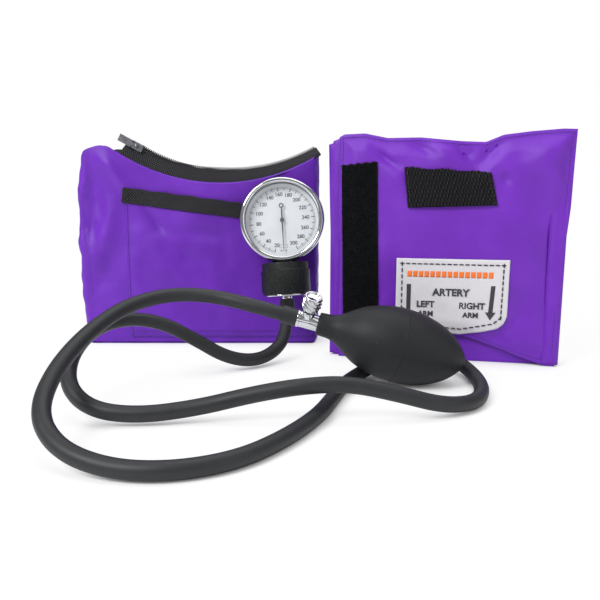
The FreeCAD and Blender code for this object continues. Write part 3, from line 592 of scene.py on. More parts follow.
def spiral_ridge():
    """One rounded ridge that climbs round the knob and fades at both ends."""
    steps, across = 20, 6
    points = []
    for i in range(steps + 1):
        t = i / steps
        fade = math.sin(math.pi * min(1, 4 * t, 4 * (1 - t)) / 2)
        for k in range(across + 1):
            a = math.pi * k / across
            turn = math.radians(RIDGE_TURN * t) - math.cos(a) * 0.18
            along = RIDGE_LOW + (RIDGE_TOP - RIDGE_LOW) * t + math.cos(a) * RIDGE_WIDE / 3
            out = CORE_SKIN + (RIDGE_OUT - CORE_SKIN) * math.sin(a) * fade
            points.append((out * math.cos(turn), min(max(along, 8.6), 17.2), out * math.sin(turn)))
    row = across + 1
    caps = [tuple(range(row - 1, -1, -1)), tuple(steps * row + k for k in range(row))]
    return points, quads(steps + 1, row) + caps


ridge = seed_of("thumbscrew_ridges", *spiral_ridge())
ridges = grown(ridge, round_tree, {"Count": RIDGES, "Step": math.radians(360 / RIDGES), "Finish": chrome},
               knob)
shaded(ridges.data)
tie(faced(ridges, chrome), "thumbscrew")

# ------------------------------------------------------------------ bulb
# One egg-shaped moulding in soft black PVC with a long neck, a mould line round its middle, and a
# chrome intake valve in its tail. The upper half dents as it is squeezed.
moulded, tree, shader, _, skin = mottled("moulded_pvc", {"Roughness": 0.55, "IOR": 1.53,
                                         "Specular IOR Level": 0.24}, 45.0, 4.0, "#1c1d1e", "#262829")
DUST_FROM = 0.74
specks = clouds(tree, 900.0, 2.0)
dust = put(tree, "ShaderNodeMath", {0: specks, 1: DUST_FROM}, operation="GREATER_THAN")
specked = put(tree, "ShaderNodeMixRGB", {"Fac": dust.outputs[0], "Color1": skin, "Color2": tint("#4a4c4e")})
put(tree, shader, {"Base Color": specked.outputs[0]})
embossed(tree, shader, specks, 0.12, 0.0002)


def smooth_line(points, steps=6):
    """A smooth curve through the points, with a few steps between each two."""
    made = []
    for i in range(len(points) - 1):
        p0, p1 = Vector(points[max(i - 1, 0)]), Vector(points[i])
        p2, p3 = Vector(points[i + 1]), Vector(points[min(i + 2, len(points) - 1)])
        for k in range(steps):
            t = k / steps
            made.append(0.5 * (2 * p1 + (p2 - p0) * t + (2 * p0 - 5 * p1 + 4 * p2 - p3) * t * t
                               + (3 * p1 - p0 - 3 * p2 + p3) * t ** 3))
    return made + [Vector(points[-1])]


BULB_SKIN = [(5.7, 0.0), (6.4, 0.5), (6.6, 3), (6.9, 7), (8.2, 11), (10.7, 15), (13.8, 19.5), (16.8, 25),
             (19.2, 32), (20.7, 39.5), (21.1, 46.6), (21.3, 47), (21.1, 47.4), (20.7, 54), (19.3, 61.5),
             (16.9, 68.5), (13.4, 75), (9.6, 79.7), (6.4, 82.6), (4.7, 84.0)]
BULB_WALL = 3.0
outer = smooth_line(BULB_SKIN)
hollow = [(max(3.45, radius - BULB_WALL), along) for radius, along in BULB_SKIN[4:-3]]
inner = [(4.65, 84.0), (4.65, 78.0)] + smooth_line(hollow[::-1], 3) + [(3.45, 9.0), (3.45, 0.0)]
bulb_skin = piece("bulb_skin", *lathed([tuple(p) for p in outer + inner], "x", 112, True), moulded, bulb,
                  None, "black_rubber", ["bulb_body", "bulb_thumb_wall"])
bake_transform(bulb_skin)
dress(chrome, "intake_valve")

# ------------------------------------------------------------------ zip case
# A bag of purple nylon, lined and unstiffened, nearly square at its ends with soft corners, and a
# zip that sags along its mouth. It is cut as one loop round the sides with a bottom sewn in.
case = Matrix.Translation(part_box("case_front")[0]) @ Matrix.Scale(MM, 4)
CASE_LONG, CASE_DEEP = 166.0, 46.0
ZIP_MIDDLE, ZIP_CENTRE, ZIP_RADIUS, ZIP_HALF = 97.0, 244.0, 130.0, 32.0
SHOULDER = [(-8, 133.0), (0, 134.6), (5, 137.4), (12, 139.2), (20, 138.6), (28.5, 133.6)]


def woven(name, dark, mid, bright, across, along, sockets, slub=0.5, relief=0.00012, painted_weave_share=0.35):
    """Cloth of crossed threads at real spacings in millimetres, read from the piece's own UV map. Its colour
    follows the weave's height, darker in the hollows as painted shade and paler on the thread tops as painted
    highlight, mixed with slubs of random tone.
    """
    made, tree, shader = finish(name, sockets)
    cloth_map = put(tree, "ShaderNodeUVMap", uv_map="cloth").outputs[0]
    parts = put(tree, "ShaderNodeSeparateXYZ", {"Vector": cloth_map})
    waves = []
    for side, spacing in (("X", across), ("Y", along)):
        turned = put(tree, "ShaderNodeMath", {0: parts.outputs[side], 1: 2 * math.pi / spacing},
                     operation="MULTIPLY")
        waves.append(put(tree, "ShaderNodeMath", {0: turned.outputs[0]}, operation="SINE").outputs[0])
    weave = put(tree, "ShaderNodeMath", {0: waves[0], 1: waves[1]}, operation="MULTIPLY")
    level = put(tree, "ShaderNodeMapRange", {"Value": weave.outputs[0], "From Min": -1.0})
    slubs = put(tree, "ShaderNodeTexNoise", {"Vector": cloth_map, "Scale": slub, "Detail": 6.0})
    uneven = put(tree, "ShaderNodeMath", {0: slubs.outputs["Fac"], 1: 1 - painted_weave_share}, operation="MULTIPLY")
    mixed = put(tree, "ShaderNodeMath", {0: level.outputs[0], 1: painted_weave_share, 2: uneven.outputs[0]},
                operation="MULTIPLY_ADD")
    # The ramp paints shade into the weave's hollows and highlight onto its thread tops.
    shade = put(tree, "ShaderNodeValToRGB", {"Fac": mixed.outputs[0]})
    ramp = shade.color_ramp
    ramp.elements[0].position, ramp.elements[1].position = 0.1, 0.9
    ramp.elements[0].color, ramp.elements[1].color = tint(dark), tint(bright)
    ramp.elements.new(0.5).color = tint(mid)
    put(tree, shader, {"Base Color": shade.outputs["Color"]})
    embossed(tree, shader, level.outputs[0], 0.6, relief)
    return made


# Calendered 210-denier nylon: a tight plain weave, rolled flat so that it has a satin gloss. Its
# threads are 0.3 mm apart and are drawn at 0.8 mm, the finest that shows.
nylon = woven("calendered_nylon", "#551a96", "#6421ab", "#7a30c8", 0.8, 0.8,
              {"Roughness": 0.38, "IOR": 1.53, "Specular IOR Level": 0.32}, 0.04)
# The bag is lined with the same weave in matt black polyester.
lining = woven("black_lining", "#1b1b1e", "#232327", "#2e2e33", 0.8, 0.8,
               {"Roughness": 0.6, "IOR": 1.5, "Specular IOR Level": 0.25}, 0.05)


CREASED = 1.6  # all creases stand out this many times their marked height


def crease(x, z, marks):
    """How far creases move a cloth out of its plane. Each mark is an end, an end, a width, a height."""
    total = np.zeros_like(x)
    for (x0, z0), (x1, z1), wide, high in marks:
        dx, dz = x1 - x0, z1 - z0
        t = np.clip(((x - x0) * dx + (z - z0) * dz) / (dx * dx + dz * dz), 0, 1)
        away = np.hypot(x - x0 - t * dx, z - z0 - t * dz)
        fade = 0.35 + 0.65 * np.sin(math.pi * np.clip(t, 0.02, 0.98))
        total += CREASED * high * fade * np.exp(-(away / wide) ** 2)
    return total


def ripple(x, z, size, high, seed):
    """Broad soft unevenness of a hanging cloth, the same at every run."""
    shape = np.array([noise.fractal(Vector((a / size, b / size, seed)), 1.0, 2.0, 3)
                      for a, b in zip(x.ravel(), z.ravel())])
    return high * shape.reshape(x.shape)


def cloth(name, grid, material, body, replaces=(), thick=0.6, wrap=False, flip=False, levels=1,
          inside=None):
    """A woven sheet from a grid of points in metres, given a thickness and a UV map in millimetres."""
    rows, columns = grid.shape[:2]
    mesh = bpy.data.meshes.new(name)
    faces = [quad[::-1] if flip else quad for quad in quads(rows, columns, wrap)]
    mesh.from_pydata([tuple(p) for p in grid.reshape(-1, 3)], [], faces)
    across = np.linalg.norm(np.diff(grid, axis=1), axis=2).mean(axis=0) / MM
    along = np.linalg.norm(np.diff(grid, axis=0), axis=2).mean(axis=1) / MM
    u = np.concatenate([[0], np.cumsum(across)])
    v = np.concatenate([[0], np.cumsum(along)])
    layer = mesh.uv_layers.new(name="cloth")
    for loop in mesh.loops:
        i, k = divmod(loop.vertex_index, columns)
        layer.data[loop.index].uv = (u[k], v[i])
    mesh.materials.append(material)
    mesh.materials.append(inside or material)
    shaded(mesh)
    made = shown(name, mesh)
    if levels:
        finer = made.modifiers.new("finer", "SUBSURF")
        finer.levels = finer.render_levels = levels
    if thick:
        thicker = made.modifiers.new("thicker", "SOLIDIFY")
        thicker.thickness, thicker.offset = thick * MM, -1
        thicker.material_offset = 1 if inside else 0
        thicker.material_offset_rim = 0
    return tie(made, body, replaces)


def zip_top(x):
    """The height of the mouth of the bag, which sags along the zip."""
    reach = np.clip(np.abs(x - ZIP_MIDDLE), 0, ZIP_RADIUS * math.sin(math.radians(ZIP_HALF)))
    sagged = ZIP_CENTRE - np.sqrt(ZIP_RADIUS ** 2 - reach ** 2)
    return np.where(x < SHOULDER[-1][0], np.interp(x, *zip(*SHOULDER)), sagged)


CASE_FOLDS = [((16, 134), (33, 108), 4, -2.2), ((8, 128), (14, 84), 5, 2.4), ((22, 100), (10, 58), 6, -1.6),
              ((4, 96), (12, 70), 4, 2.0), ((26, 70), (6, 30), 7, 1.8), ((44, 97), (56, 82), 2.5, 1.6),
              ((56, 82), (98, 77), 5, 1.5), ((54, 80), (100, 40), 9, 1.4), ((70, 60), (120, 20), 11, -1.0),
              ((40, 120), (100, 106), 6, -0.9), ((118, 108), (160, 130), 6, -1.2),
              ((110, 100), (160, 112), 5, 1.0), ((34, 40), (60, 12), 8, -0.9)]


def case_front(x, z):
    """How far back the front wall lies, bulging a little where nothing leans on it."""
    lift = crease(x, z, CASE_FOLDS) + ripple(x, z, 38.0, 1.6, 3.0)
    bulge = -2.2 * np.sin(math.pi * np.clip(x / 110, 0, 1)) * np.sin(math.pi * np.clip(z / 120, 0, 1))
    leaned = np.exp(-((x - 141) / 26) ** 2)
    return (lift + bulge) * (1 - leaned) + leaned * np.abs(lift) * 0.5 + 0.4


BACK_FOLDS = [((20, 132), (44, 92), 5, 1.5), ((150, 130), (120, 84), 6, 1.6), ((60, 90), (118, 78), 7, 1.2),
              ((30, 60), (70, 16), 8, 1.2), ((140, 62), (104, 20), 8, 1.3), ((12, 100), (22, 40), 5, 1.2)]
# The corners' reach along the bag, and how square they are: 1 is round and 0 is square.
CORNER, SQUARE = 8.0, 0.45
LEFT_SWELL = [(0, -2.5), (25, -4.6), (46, -6.2), (88, -4.8), (122, -2.8), (134, 0.0), (140, 5.0)]


def squared(c, way):
    """How deep a point of a squared end lies, from the cosine of its turn."""
    return CASE_DEEP / 2 * (1 + way * math.copysign(abs(c) ** SQUARE, c))


def case_loop(height_steps, steps_long, steps_deep):
    """Rows of points round the bag's four sides, from its bottom to its mouth."""
    straight = CASE_LONG - 2 * CORNER
    runs = [straight * k / steps_long for k in range(steps_long)]
    turns = [math.pi * k / steps_deep for k in range(steps_deep)]
    walk = [(CORNER + run, 0.0) for run in runs]
    walk += [(CASE_LONG - CORNER + CORNER * math.sin(a) ** SQUARE, squared(math.cos(a), -1)) for a in turns]
    walk += [(CASE_LONG - CORNER - run, CASE_DEEP) for run in runs]
    walk += [(CORNER - CORNER * math.sin(a) ** SQUARE, squared(math.cos(a), 1)) for a in turns]
    xs, ys = np.array(walk).T
    t = np.linspace(0, 1, height_steps)[:, None]
    x = np.repeat(xs[None], height_steps, 0)
    y = np.repeat(ys[None], height_steps, 0)
    top = zip_top(xs)[None]
    z = 0.3 + t * (top - 0.3)
    frontness = np.clip(1 - y / 20, 0, 1) ** 2
    backness = np.clip((y - CASE_DEEP + 20) / 20, 0, 1) ** 2
    tucked = 1 - 0.85 * np.clip((z - top + 10) / 10, 0, 1)
    y = y + frontness * case_front(x, z) * tucked * np.clip(z / 8, 0, 1)
    sunk = np.abs(ripple(x, z, 40.0, 2.0, 9.0)) + np.clip(crease(x, z, BACK_FOLDS) + 0.8, 0, 9)
    y = y - backness * sunk * tucked * np.clip(z / 8, 0, 1)
    swell = np.interp(z, [p[0] for p in LEFT_SWELL], [p[1] for p in LEFT_SWELL])
    leftness = np.clip(1 - x / 26, 0, 1) ** 1.5
    x = x + leftness * (swell + ripple(y, z, 16.0, 2.2, 5.0))
    rightness = np.clip((x - CASE_LONG + 20) / 20, 0, 1)
    x = x - rightness * np.abs(ripple(y, z, 16.0, 2.0, 7.0))
    foot = np.clip(1 - z / 5, 0, 1) ** 2
    x = x + foot * (CASE_LONG / 2 - x) * 0.02
    y = y + foot * (CASE_DEEP / 2 - y) * 0.06
    return np.stack([x, y, z], axis=2)


def set_in(grid, place):
    """A grid of points in a frame's millimetres, carried to its place in metres."""
    turn = np.array(place.to_3x3())
    return grid @ turn.T + np.array(place.translation)


CASE_ROWS, CASE_COLUMNS, CASE_ENDS = 52, 62, 18
loop = case_loop(CASE_ROWS, CASE_COLUMNS, CASE_ENDS)
cloth("case_sides", set_in(loop, case), nylon, "case",
      ["case_front", "case_back", "case_left_end", "case_right_end"], 1.2, True, False, 1, lining)

# The bottom is a panel sewn inside the foot of the sides, in rings that shrink to its middle.
foot = loop[1]
centre = foot.mean(axis=0)
rings = np.stack([centre + (foot - centre) * s for s in (0.02, 0.3, 0.6, 0.85, 0.985)])
rings[:, :, 2] = 1.4 - 1.0 * np.linspace(0.2, 1, 5)[:, None]
cloth("case_floor", set_in(rings, case), nylon, "case", ["case_bottom"], 0.3, True, False, 0,
      lining)

# ------------------------------------------------------------------ front pocket
# A flat nylon pocket sewn to the front of the case along its left side and its bottom, bound at
# its mouth with ribbed polyester webbing.
POCKET_FROM, POCKET_TO, POCKET_LOW = 31.0, 162.0, 5.0
WEBBING_HIGH, WEBBING_SLOPE, WEBBING_WIDE, WEBBING_THICK = 105.5, 7.5, 10.8, 1.0


def webbing_line(x):
    """The height of the middle of the webbing."""
    return WEBBING_HIGH - (x - POCKET_FROM + 1) * math.tan(math.radians(WEBBING_SLOPE))


def near_wall(x, z, out):
    """Points just in front of the case's front wall."""
    lean = np.clip(z / 8, 0, 1)
    return np.stack([x, case_front(x, z) * lean - out, z], axis=2)


across = np.linspace(POCKET_FROM, POCKET_TO, 60)[None]
up = np.linspace(0, 1, 44)[:, None]
x = np.repeat(across, 44, 0)
z = POCKET_LOW + up * (webbing_line(across) - 1 - POCKET_LOW)
puff = 0.35 + 1.3 * np.sin(math.pi * np.clip((x - POCKET_FROM) / 60, 0, 0.5)) * up ** 1.5
sewn = np.minimum(1, np.minimum((x - POCKET_FROM) / 4, (z - POCKET_LOW) / 4))
cloth("pocket_panel", set_in(near_wall(x, z, 0.75 + puff * 0.5 * np.clip(sewn, 0, 1)), case), nylon, "case",
      ["front_pocket"], 0.5)

# Grosgrain webbing: thick cross ribs under fine threads, so it is matt. Its rib tops are painted bright as a
# highlight and its hollows dark as shade. Its ribs are about 1 mm apart and are drawn at about 2 mm.
webbing = woven("ribbed_webbing", "#050507", "#121214", "#4c4c52", 1.7, 2.2,
                {"Roughness": 0.62, "IOR": 1.5, "Specular IOR Level": 0.25}, 0.6, 0.0012, 0.75)


along = np.linspace(POCKET_FROM - 1.5, POCKET_TO + 0.5, 90)[None]
side = np.linspace(-0.5, 0.5, 9)[:, None]
x = np.repeat(along, 9, 0) + side * WEBBING_WIDE * math.sin(math.radians(WEBBING_SLOPE))
z = webbing_line(x) + side * WEBBING_WIDE * math.cos(math.radians(WEBBING_SLOPE))
z = z + 0.25 * np.sin(x * 0.35) * (side > 0.4)
stand = 1.9 + 0.7 * np.sin(math.pi * np.clip((x - POCKET_FROM) / 60, 0, 0.5))
cloth("pocket_binding", set_in(near_wall(x, z, stand), case), webbing, "case",
      ["pocket_webbing"], WEBBING_THICK)

# Stitches are short lengths of thread, each set along the seam and sunk a little into the cloth.
# They are laid by a tree that walks a line at the stitch's length.
row_tree, given, result = repeat_tree("stitch_row", [("Spacing", "INPUT", "NodeSocketFloat"),
                                                     ("Stitch", "INPUT", "NodeSocketObject")])
spaced = put(row_tree, "GeometryNodeCurveToPoints", {"Curve": given.outputs["Geometry"],
             "Length": given.outputs["Spacing"]}, mode="LENGTH")
one = put(row_tree, "GeometryNodeObjectInfo", {"Object": given.outputs["Stitch"]})
facing = put(row_tree, "FunctionNodeAlignRotationToVector", {"Vector": spaced.outputs["Tangent"]}, axis="X")
copies = put(row_tree, "GeometryNodeInstanceOnPoints", {"Points": spaced.outputs["Points"],
             "Instance": one.outputs["Geometry"], "Rotation": facing.outputs[0]})
realised(row_tree, copies.outputs[0], given, result)


def thread_stitch(name, long, thick):
    """One stitch: a short rod of thread with tapered ends, lying along X."""
    points = []
    for x, r in ((-0.5, 0.3), (-0.32, 1), (0.32, 1), (0.5, 0.3)):
        for k in range(6):
            a = math.pi / 3 * k
            points.append((x * long * MM, r * thick / 2 * math.cos(a) * MM, r * thick / 2 * math.sin(a) * MM))
    return seed_of(name, points, quads(4, 6) + [tuple(range(5, -1, -1)), tuple(range(18, 24))])


# Spun polyester thread, dyed purple or black: matt, with a little sheen from its loose fibres.
SPUN = {"Roughness": 0.6, "Sheen Weight": 0.2}
thread = mottled("spun_thread", SPUN, 1400.0, 2.0, "#2f0f66", "#4a1d8c")[0]
black_thread = mottled("black_thread", SPUN, 1400.0, 2.0, "#0e0e10", "#2a2a2e")[0]


def sew(name, lines, long, thick, spacing, material, body, replaces=()):
    """Rows of stitches along lines of points in metres."""
    path = bpy.data.curves.new(name, "CURVE")
    path.dimensions = "3D"
    for line in lines:
        run = path.splines.new("POLY")
        run.points.add(len(line) - 1)
        for control, point in zip(run.points, line):
            control.co = (*point, 1)
    walker = shown(name, path)
    stitch = thread_stitch(name + "_stitch", long, thick)
    made = grown(walker, row_tree, {"Spacing": spacing * MM, "Stitch": stitch, "Finish": material},
                 Matrix.Identity(4))
    bpy.data.objects.remove(stitch)
    return tie(faced(made, material), body, replaces)


def wall_line(ends, out, steps=60):
    """A line of points in front of the case's wall between two of its points."""
    (x0, z0), (x1, z1) = ends
    t = np.linspace(0, 1, steps)[None]
    return set_in(near_wall(x0 + (x1 - x0) * t, z0 + (z1 - z0) * t, out), case)[0]


seams = [wall_line(((POCKET_FROM + 1.2, POCKET_LOW + 1), (POCKET_FROM + 1.2, 98)), 1.2),
         wall_line(((POCKET_FROM + 1, POCKET_LOW + 1.2), (POCKET_TO - 2, POCKET_LOW + 1.2)), 1.2),
         wall_line(((POCKET_FROM + 1, POCKET_LOW + 4.2), (POCKET_TO - 2, POCKET_LOW + 4.2)), 1.45)]
sew("pocket_stitches", seams, 2.0, 0.45, 2.7, thread, "case")
bound = [wall_line(((x, webbing_line(x) - 4.6), (x, webbing_line(x) + 4.6)), 2.3, 12)
         for x in (POCKET_FROM + 0.4, POCKET_FROM + 2.4)]
sew("binding_stitches", bound, 1.4, 0.4, 2.0, black_thread, "case")

# ------------------------------------------------------------------ zip
# A nylon zip: two black woven tapes that lean together from the mouth of the bag, each with a row of
# nylon teeth sewn along its edge, and a plated slider with its pull.
zip_axis = Matrix.Translation(Vector(joints["zip_slide"]["pos_m"])) @ Matrix.Scale(MM, 4)
TAPE_WIDE, TAPE_LEAN, TAPE_THICK, TAPE_IN = 9.0, 4.0, 1.0, 0.35
# name: how far back the tape stands, and which way it leans
TAPES = (("front", TAPE_IN, 1), ("back", CASE_DEEP - TAPE_IN, -1))


def zip_point(radius, degrees, back):
    """A point on the zip, from its angle each side of the lowest point."""
    a = np.radians(degrees)
    return np.stack([radius * np.sin(a), back + 0 * a, -radius * np.cos(a)], axis=-1)


def tape_point(degrees, up, front, lean):
    """A point on a tape, which leans in further and stands lower along its right half."""
    right = np.clip(degrees / ZIP_HALF, 0, 1)
    radius = ZIP_RADIUS - TAPE_WIDE * (1 - 0.4 * right) * up
    leant = (TAPE_LEAN + 2.5 * right) * np.clip(up, 0, 2) ** 1.3
    return zip_point(radius, degrees + 0 * up, front + lean * leant)


for name, front, lean in TAPES:
    degrees = np.linspace(-ZIP_HALF, ZIP_HALF, 110)[None]
    tape = set_in(tape_point(degrees, np.linspace(-0.25, 1, 9)[:, None], front, lean), zip_axis)
    cloth("zip_tape_%s_weave" % name, tape, webbing, "case", ["zip_tape_" + name],
          TAPE_THICK * lean, flip=lean < 0)

TOOTH_LONG, TOOTH_THICK, TOOTH_PITCH = 0.95, 2.1, 1.45
# Moulded nylon: black and fairly glossy, a little paler where it is worn.
tooth_plastic = mottled("moulded_nylon_teeth", {"Roughness": 0.35, "IOR": 1.53}, 500.0, 2.0,
                        "#17171a", "#3a3a40")[0]
for name, front, lean in TAPES:
    degrees = np.linspace(-ZIP_HALF + 0.8, ZIP_HALF - 0.8, 160)
    line = set_in(tape_point(degrees, 1.08, front, lean), zip_axis)
    sew("zip_teeth_" + name, [line], TOOTH_LONG, TOOTH_THICK, TOOTH_PITCH, tooth_plastic, "case",
        ["zip_coil_" + name])

# Zinc casting, plated dark, in patches paler at random.
plated = mottled("gunmetal_plating", {"Metallic": 0.9, "Roughness": 0.32}, 350.0, 4.0,
                 "#55575a", "#a8aaae")[0]
for name in ("zip_slider", "zip_pull"):
    dress(plated, name)
    soften(name, 0.2)

# ------------------------------------------------------------------ arm cuff
# A long band with two skins of the same purple nylon, folded back and forth into four layers. The
# front layer holds the bladder, so it is the thickest. Each layer is sewn round its edge.
CUFF_TOP = [(-12, 137.2), (-2, 140.5), (3, 143.3), (16, 143.7), (30, 140.7), (50, 140.8), (75, 138.2),
            (89, 137.5), (99, 141.6), (115, 143.4), (133, 144.6), (142, 144.2)]
ARCH = [(-12, 0.3), (8, 0.3), (20, 16.0), (26, 17.6), (80, 17.6), (98, 12.0), (115.5, 5.3), (130.6, 0.4),
        (142, 0.3)]
FRONT_LEFT = [(0, 0.6), (145, 0.0)]
FRONT_RIGHT = [(0, 136.4), (70, 137.6), (99, 139.6), (145, 140.6)]
CUFF_CREASES = [((21, 134), (36, 123), 2.6, 2.0), ((72, 139), (84, 122), 4.5, 2.6),
                ((84, 122), (97, 136), 4.0, 2.2), ((58, 141), (66, 126), 5, -1.4),
                ((97, 119), (104, 112), 3.5, 1.6), ((44, 138), (60, 130), 3, 1.2),
                ((141, 143), (112, 118), 9, -2.0), ((110, 116), (134, 72), 6, 1.8),
                ((140, 100), (122, 128), 7, -1.6),
                ((141, 116), (137, 12), 13, 3.0), ((122, 62), (113, 22), 8, 1.2),
                ((96, 12), (112, 30), 4, 1.2), ((28, 96), (34, 40), 5, -0.6),
                ((30, 124), (42, 110), 4, -1.0), ((99, 95), (128, 84), 6, -0.9)]


def front_out(x, z):
    """How far back the face of the front layer lies: crowned by its bladder, and creased."""
    crown = -2.4 * (np.sin(math.pi * np.clip(x / CUFF_WIDTH, 0.02, 0.98))
                    * np.sin(math.pi * np.clip(z / 150, 0.03, 1)))
    return crown + crease(x, z, CUFF_CREASES) + ripple(x, z, 30.0, 0.7, 1.0)


def pillow(name, left, right, top, foot, middle, thick, material, body, face=None, replaces=(),
           steps=(96, 100), rear=None):
    """A closed layer of cloth, thin at its sewn edges, from the outlines of its four edges."""
    columns, rows = steps
    s = np.linspace(0, 1, columns)
    s = (1 - np.cos(math.pi * s)) * 0.15 + s * 0.7
    t = np.linspace(0, 1, rows)[:, None]
    t = (1 - np.cos(math.pi * t)) * 0.15 + t * 0.7
    roughly = np.interp(t * CUFF_HIGH, *zip(*left)) * (1 - s) + np.interp(t * CUFF_HIGH, *zip(*right)) * s
    high = np.interp(roughly, *zip(*top))
    low = np.interp(roughly, *zip(*foot))
    z = low + (high - low) * t
    x = np.interp(z, *zip(*left)) * (1 - s) + np.interp(z, *zip(*right)) * s
    width, height = x[:, -1:] - x[:, :1], high - low
    edge = np.minimum(np.minimum(s * width, (1 - s) * width), np.minimum(t * height, (1 - t) * height))
    full = np.clip((edge - 2.6) / 9, 0, 1)
    full = full * full * (3 - 2 * full)
    rim = np.sqrt(np.clip(edge / 0.7, 0, 1))
    half = 0.5 * rim + (thick / 2 - 0.5) * full
    firm = np.clip((edge - 0.8) / 5, 0, 1)
    wave = face(x, z) * firm if face else 0.35 * thick * ripple(x, z, 34.0, 0.35, middle) * full
    edge_wave = 0.5 * np.sin(z * 0.09 + middle) * (1 - full)
    front = middle - half + wave + edge_wave
    back = middle + half + edge_wave * 0.5 + (0 if face else wave * 0.4) + (rear(x, z) * firm if rear else 0)
    loop = np.concatenate([np.stack([x, front, z], axis=2), np.stack([x, back, z], axis=2)[:, ::-1]], axis=1)
    made = cloth(name, set_in(loop, cuff), material, body, replaces, 0, True, False, 0)
    merged(made.data, 0.00002)
    return made


# The cuff's nylon is the case's, a little paler and with less gloss from washing.
cuff_nylon = woven("cuff_nylon", "#5d1c9c", "#6c24b2", "#7f34ca", 0.8, 0.8,
                   {"Roughness": 0.42, "IOR": 1.53, "Specular IOR Level": 0.32}, 0.035)
front_layer = pillow("front_layer", FRONT_LEFT, FRONT_RIGHT, CUFF_TOP, ARCH, 2.35, 4.6, cuff_nylon, "cuff",
                     front_out, ["cuff_front_skin", "bladder", "cuff_front_lining"])
PLAIN_FOOT, PLAIN_STEPS = [(-12, 0.3), (142, 0.3)], (70, 70)
BACK_RIGHT = [(0, 136.2), (145, 136.6)]
SECOND_RIGHT = [(0, 135.8), (70, 135.0), (145, 132.4)]
second_layer = pillow("second_layer", [(0, -3.6), (145, -4.6)], SECOND_RIGHT, CUFF_TOP, PLAIN_FOOT, 6.6, 2.4,
                      cuff_nylon, "second_fold", None, ["cuff_second_fold"], PLAIN_STEPS)
third_layer = pillow("third_layer", [(0, -3.4), (145, -4.8)], BACK_RIGHT, [(x, z - 0.8) for x, z in CUFF_TOP],
                     PLAIN_FOOT, 9.8, 2.4, cuff_nylon, "third_fold", None, ["cuff_third_fold"], PLAIN_STEPS)
END_CREASES = [((4, 140), (30, 112), 5, 1.0), ((126, 138), (96, 108), 6, 1.1), ((20, 70), (110, 58), 9, 0.8),
               ((16, 30), (60, 8), 7, 0.9), ((128, 60), (108, 10), 8, 0.9)]


def end_back(x, z):
    """How far the back of the end layer stands out where it is creased."""
    return crease(x, z, END_CREASES) * 0.7 + ripple(x, z, 30.0, 0.7, 6.0)


end_layer = pillow("end_layer", [(0, -4.4), (30, -5.6), (70, -6.8), (145, -8.8)], BACK_RIGHT,
                   [(x, z - 0.3) for x, z in CUFF_TOP], PLAIN_FOOT, 14.2, 2.4, cuff_nylon, "end_fold", None,
                   ["cuff_end_fold"], PLAIN_STEPS, end_back)


FLANGE, STRIP_THICK = 8.0, 0.6


def fold_strip(name, at, side, reach, top, foot, first, second, material):
    """The rounded turn of the cloth from one layer to the next, sewn into both."""
    turns = np.linspace(0, math.pi, 13)
    flat = np.array([FLANGE, FLANGE / 2])
    turns = np.concatenate([0 * flat, turns, 0 * flat + math.pi])[None]
    sewn = np.concatenate([flat, np.zeros(13), flat[::-1]])[None]
    z = np.linspace(foot, top, 60)[:, None]
    half, middle = (second - first) / 2, (first + second) / 2
    walls = []
    for depth in (0, STRIP_THICK):
        x = at - side * sewn + side * (reach - depth) * np.sin(turns) + 0 * z
        y = middle - (half - depth) * np.cos(turns) + 0 * z
        walls.append(np.stack([x, y, z + 0 * turns], axis=2))
    body = np.concatenate([walls[0], walls[1][:, ::-1]], axis=1)
    closed = (body + body[:, ::-1]) / 2
    capped = np.concatenate([closed[:1], body, closed[-1:]], axis=0)
    made = cloth(name, set_in(capped, cuff), material, None, (), 0, True, False, 0)
    merged(made.data, 0.00001)
    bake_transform(made)


fold_strip("first_turn", 136.4, 1, 2.4, 142.8, 1.2, 2.1, 6.8, cuff_nylon)
fold_strip("second_turn", -4.4, -1, 1.8, 137.6, 1.2, 6.4, 10.1, cuff_nylon)
fold_strip("third_turn", 136.2, 1, 2.2, 142.2, 1.2, 9.5, 14.5, cuff_nylon)


front_tree = BVHTree.FromPolygons([v.co for v in front_layer.data.vertices],
                                  [f.vertices for f in front_layer.data.polygons])
forward = (cuff.to_3x3() @ Vector((0, -1, 0))).normalized()


def laid_on(points, out):
    """Points in the cuff's millimetres laid on the face of the front layer, that far in front."""
    laid = []
    for x, y, z in points.reshape(-1, 3):
        start = cuff @ Vector((x, -30, z))
        hit = front_tree.ray_cast(start, -forward)[0]
        spot = hit if hit else cuff @ Vector((x, 1.8, z))
        laid.append(spot + forward * (out - y) * MM)
    return np.array([tuple(p) for p in laid]).reshape(points.shape)


def cuff_line(points, out, steps=40):
    """A line of points just in front of the front layer's face."""
    line = []
    for (x0, z0), (x1, z1) in zip(points, points[1:]):
        t = np.linspace(0, 1, steps)
        line.append(np.stack([x0 + (x1 - x0) * t, 0 * t, z0 + (z1 - z0) * t], axis=1))
    line = np.concatenate(line)
    return laid_on(line, out)


edge_seams = [cuff_line([(3.4, 141.3), (16, 141.6), (30, 138.7), (50, 138.8), (74, 136.4), (89, 135.7),
                         (99, 139.6), (115, 141.3), (132, 142.6), (138.6, 142.2)], 0.1, 12),
              cuff_line([(138.2, 141.6), (136.4, 99), (135.2, 60), (134.4, 3)], 0.1, 40),
              cuff_line([(2.2, 141), (2.6, 90), (2.6, 4)], 0.1, 40),
              cuff_line([(133, 2.8), (115.5, 7.6), (98, 14.2), (84, 19.2)], 0.1, 20)]
sew("cuff_edge_stitches", edge_seams, 2.0, 0.4, 2.6, thread, "cuff")

# ------------------------------------------------------------------ gauge strap
# A short length of ribbed black polyester webbing, sewn down at both ends. The gauge's spring clip
# slides under it.
STRAP = [(40.8, 122.6), (92.6, 119.4), (97.0, 99.8), (43.6, 98.1)]


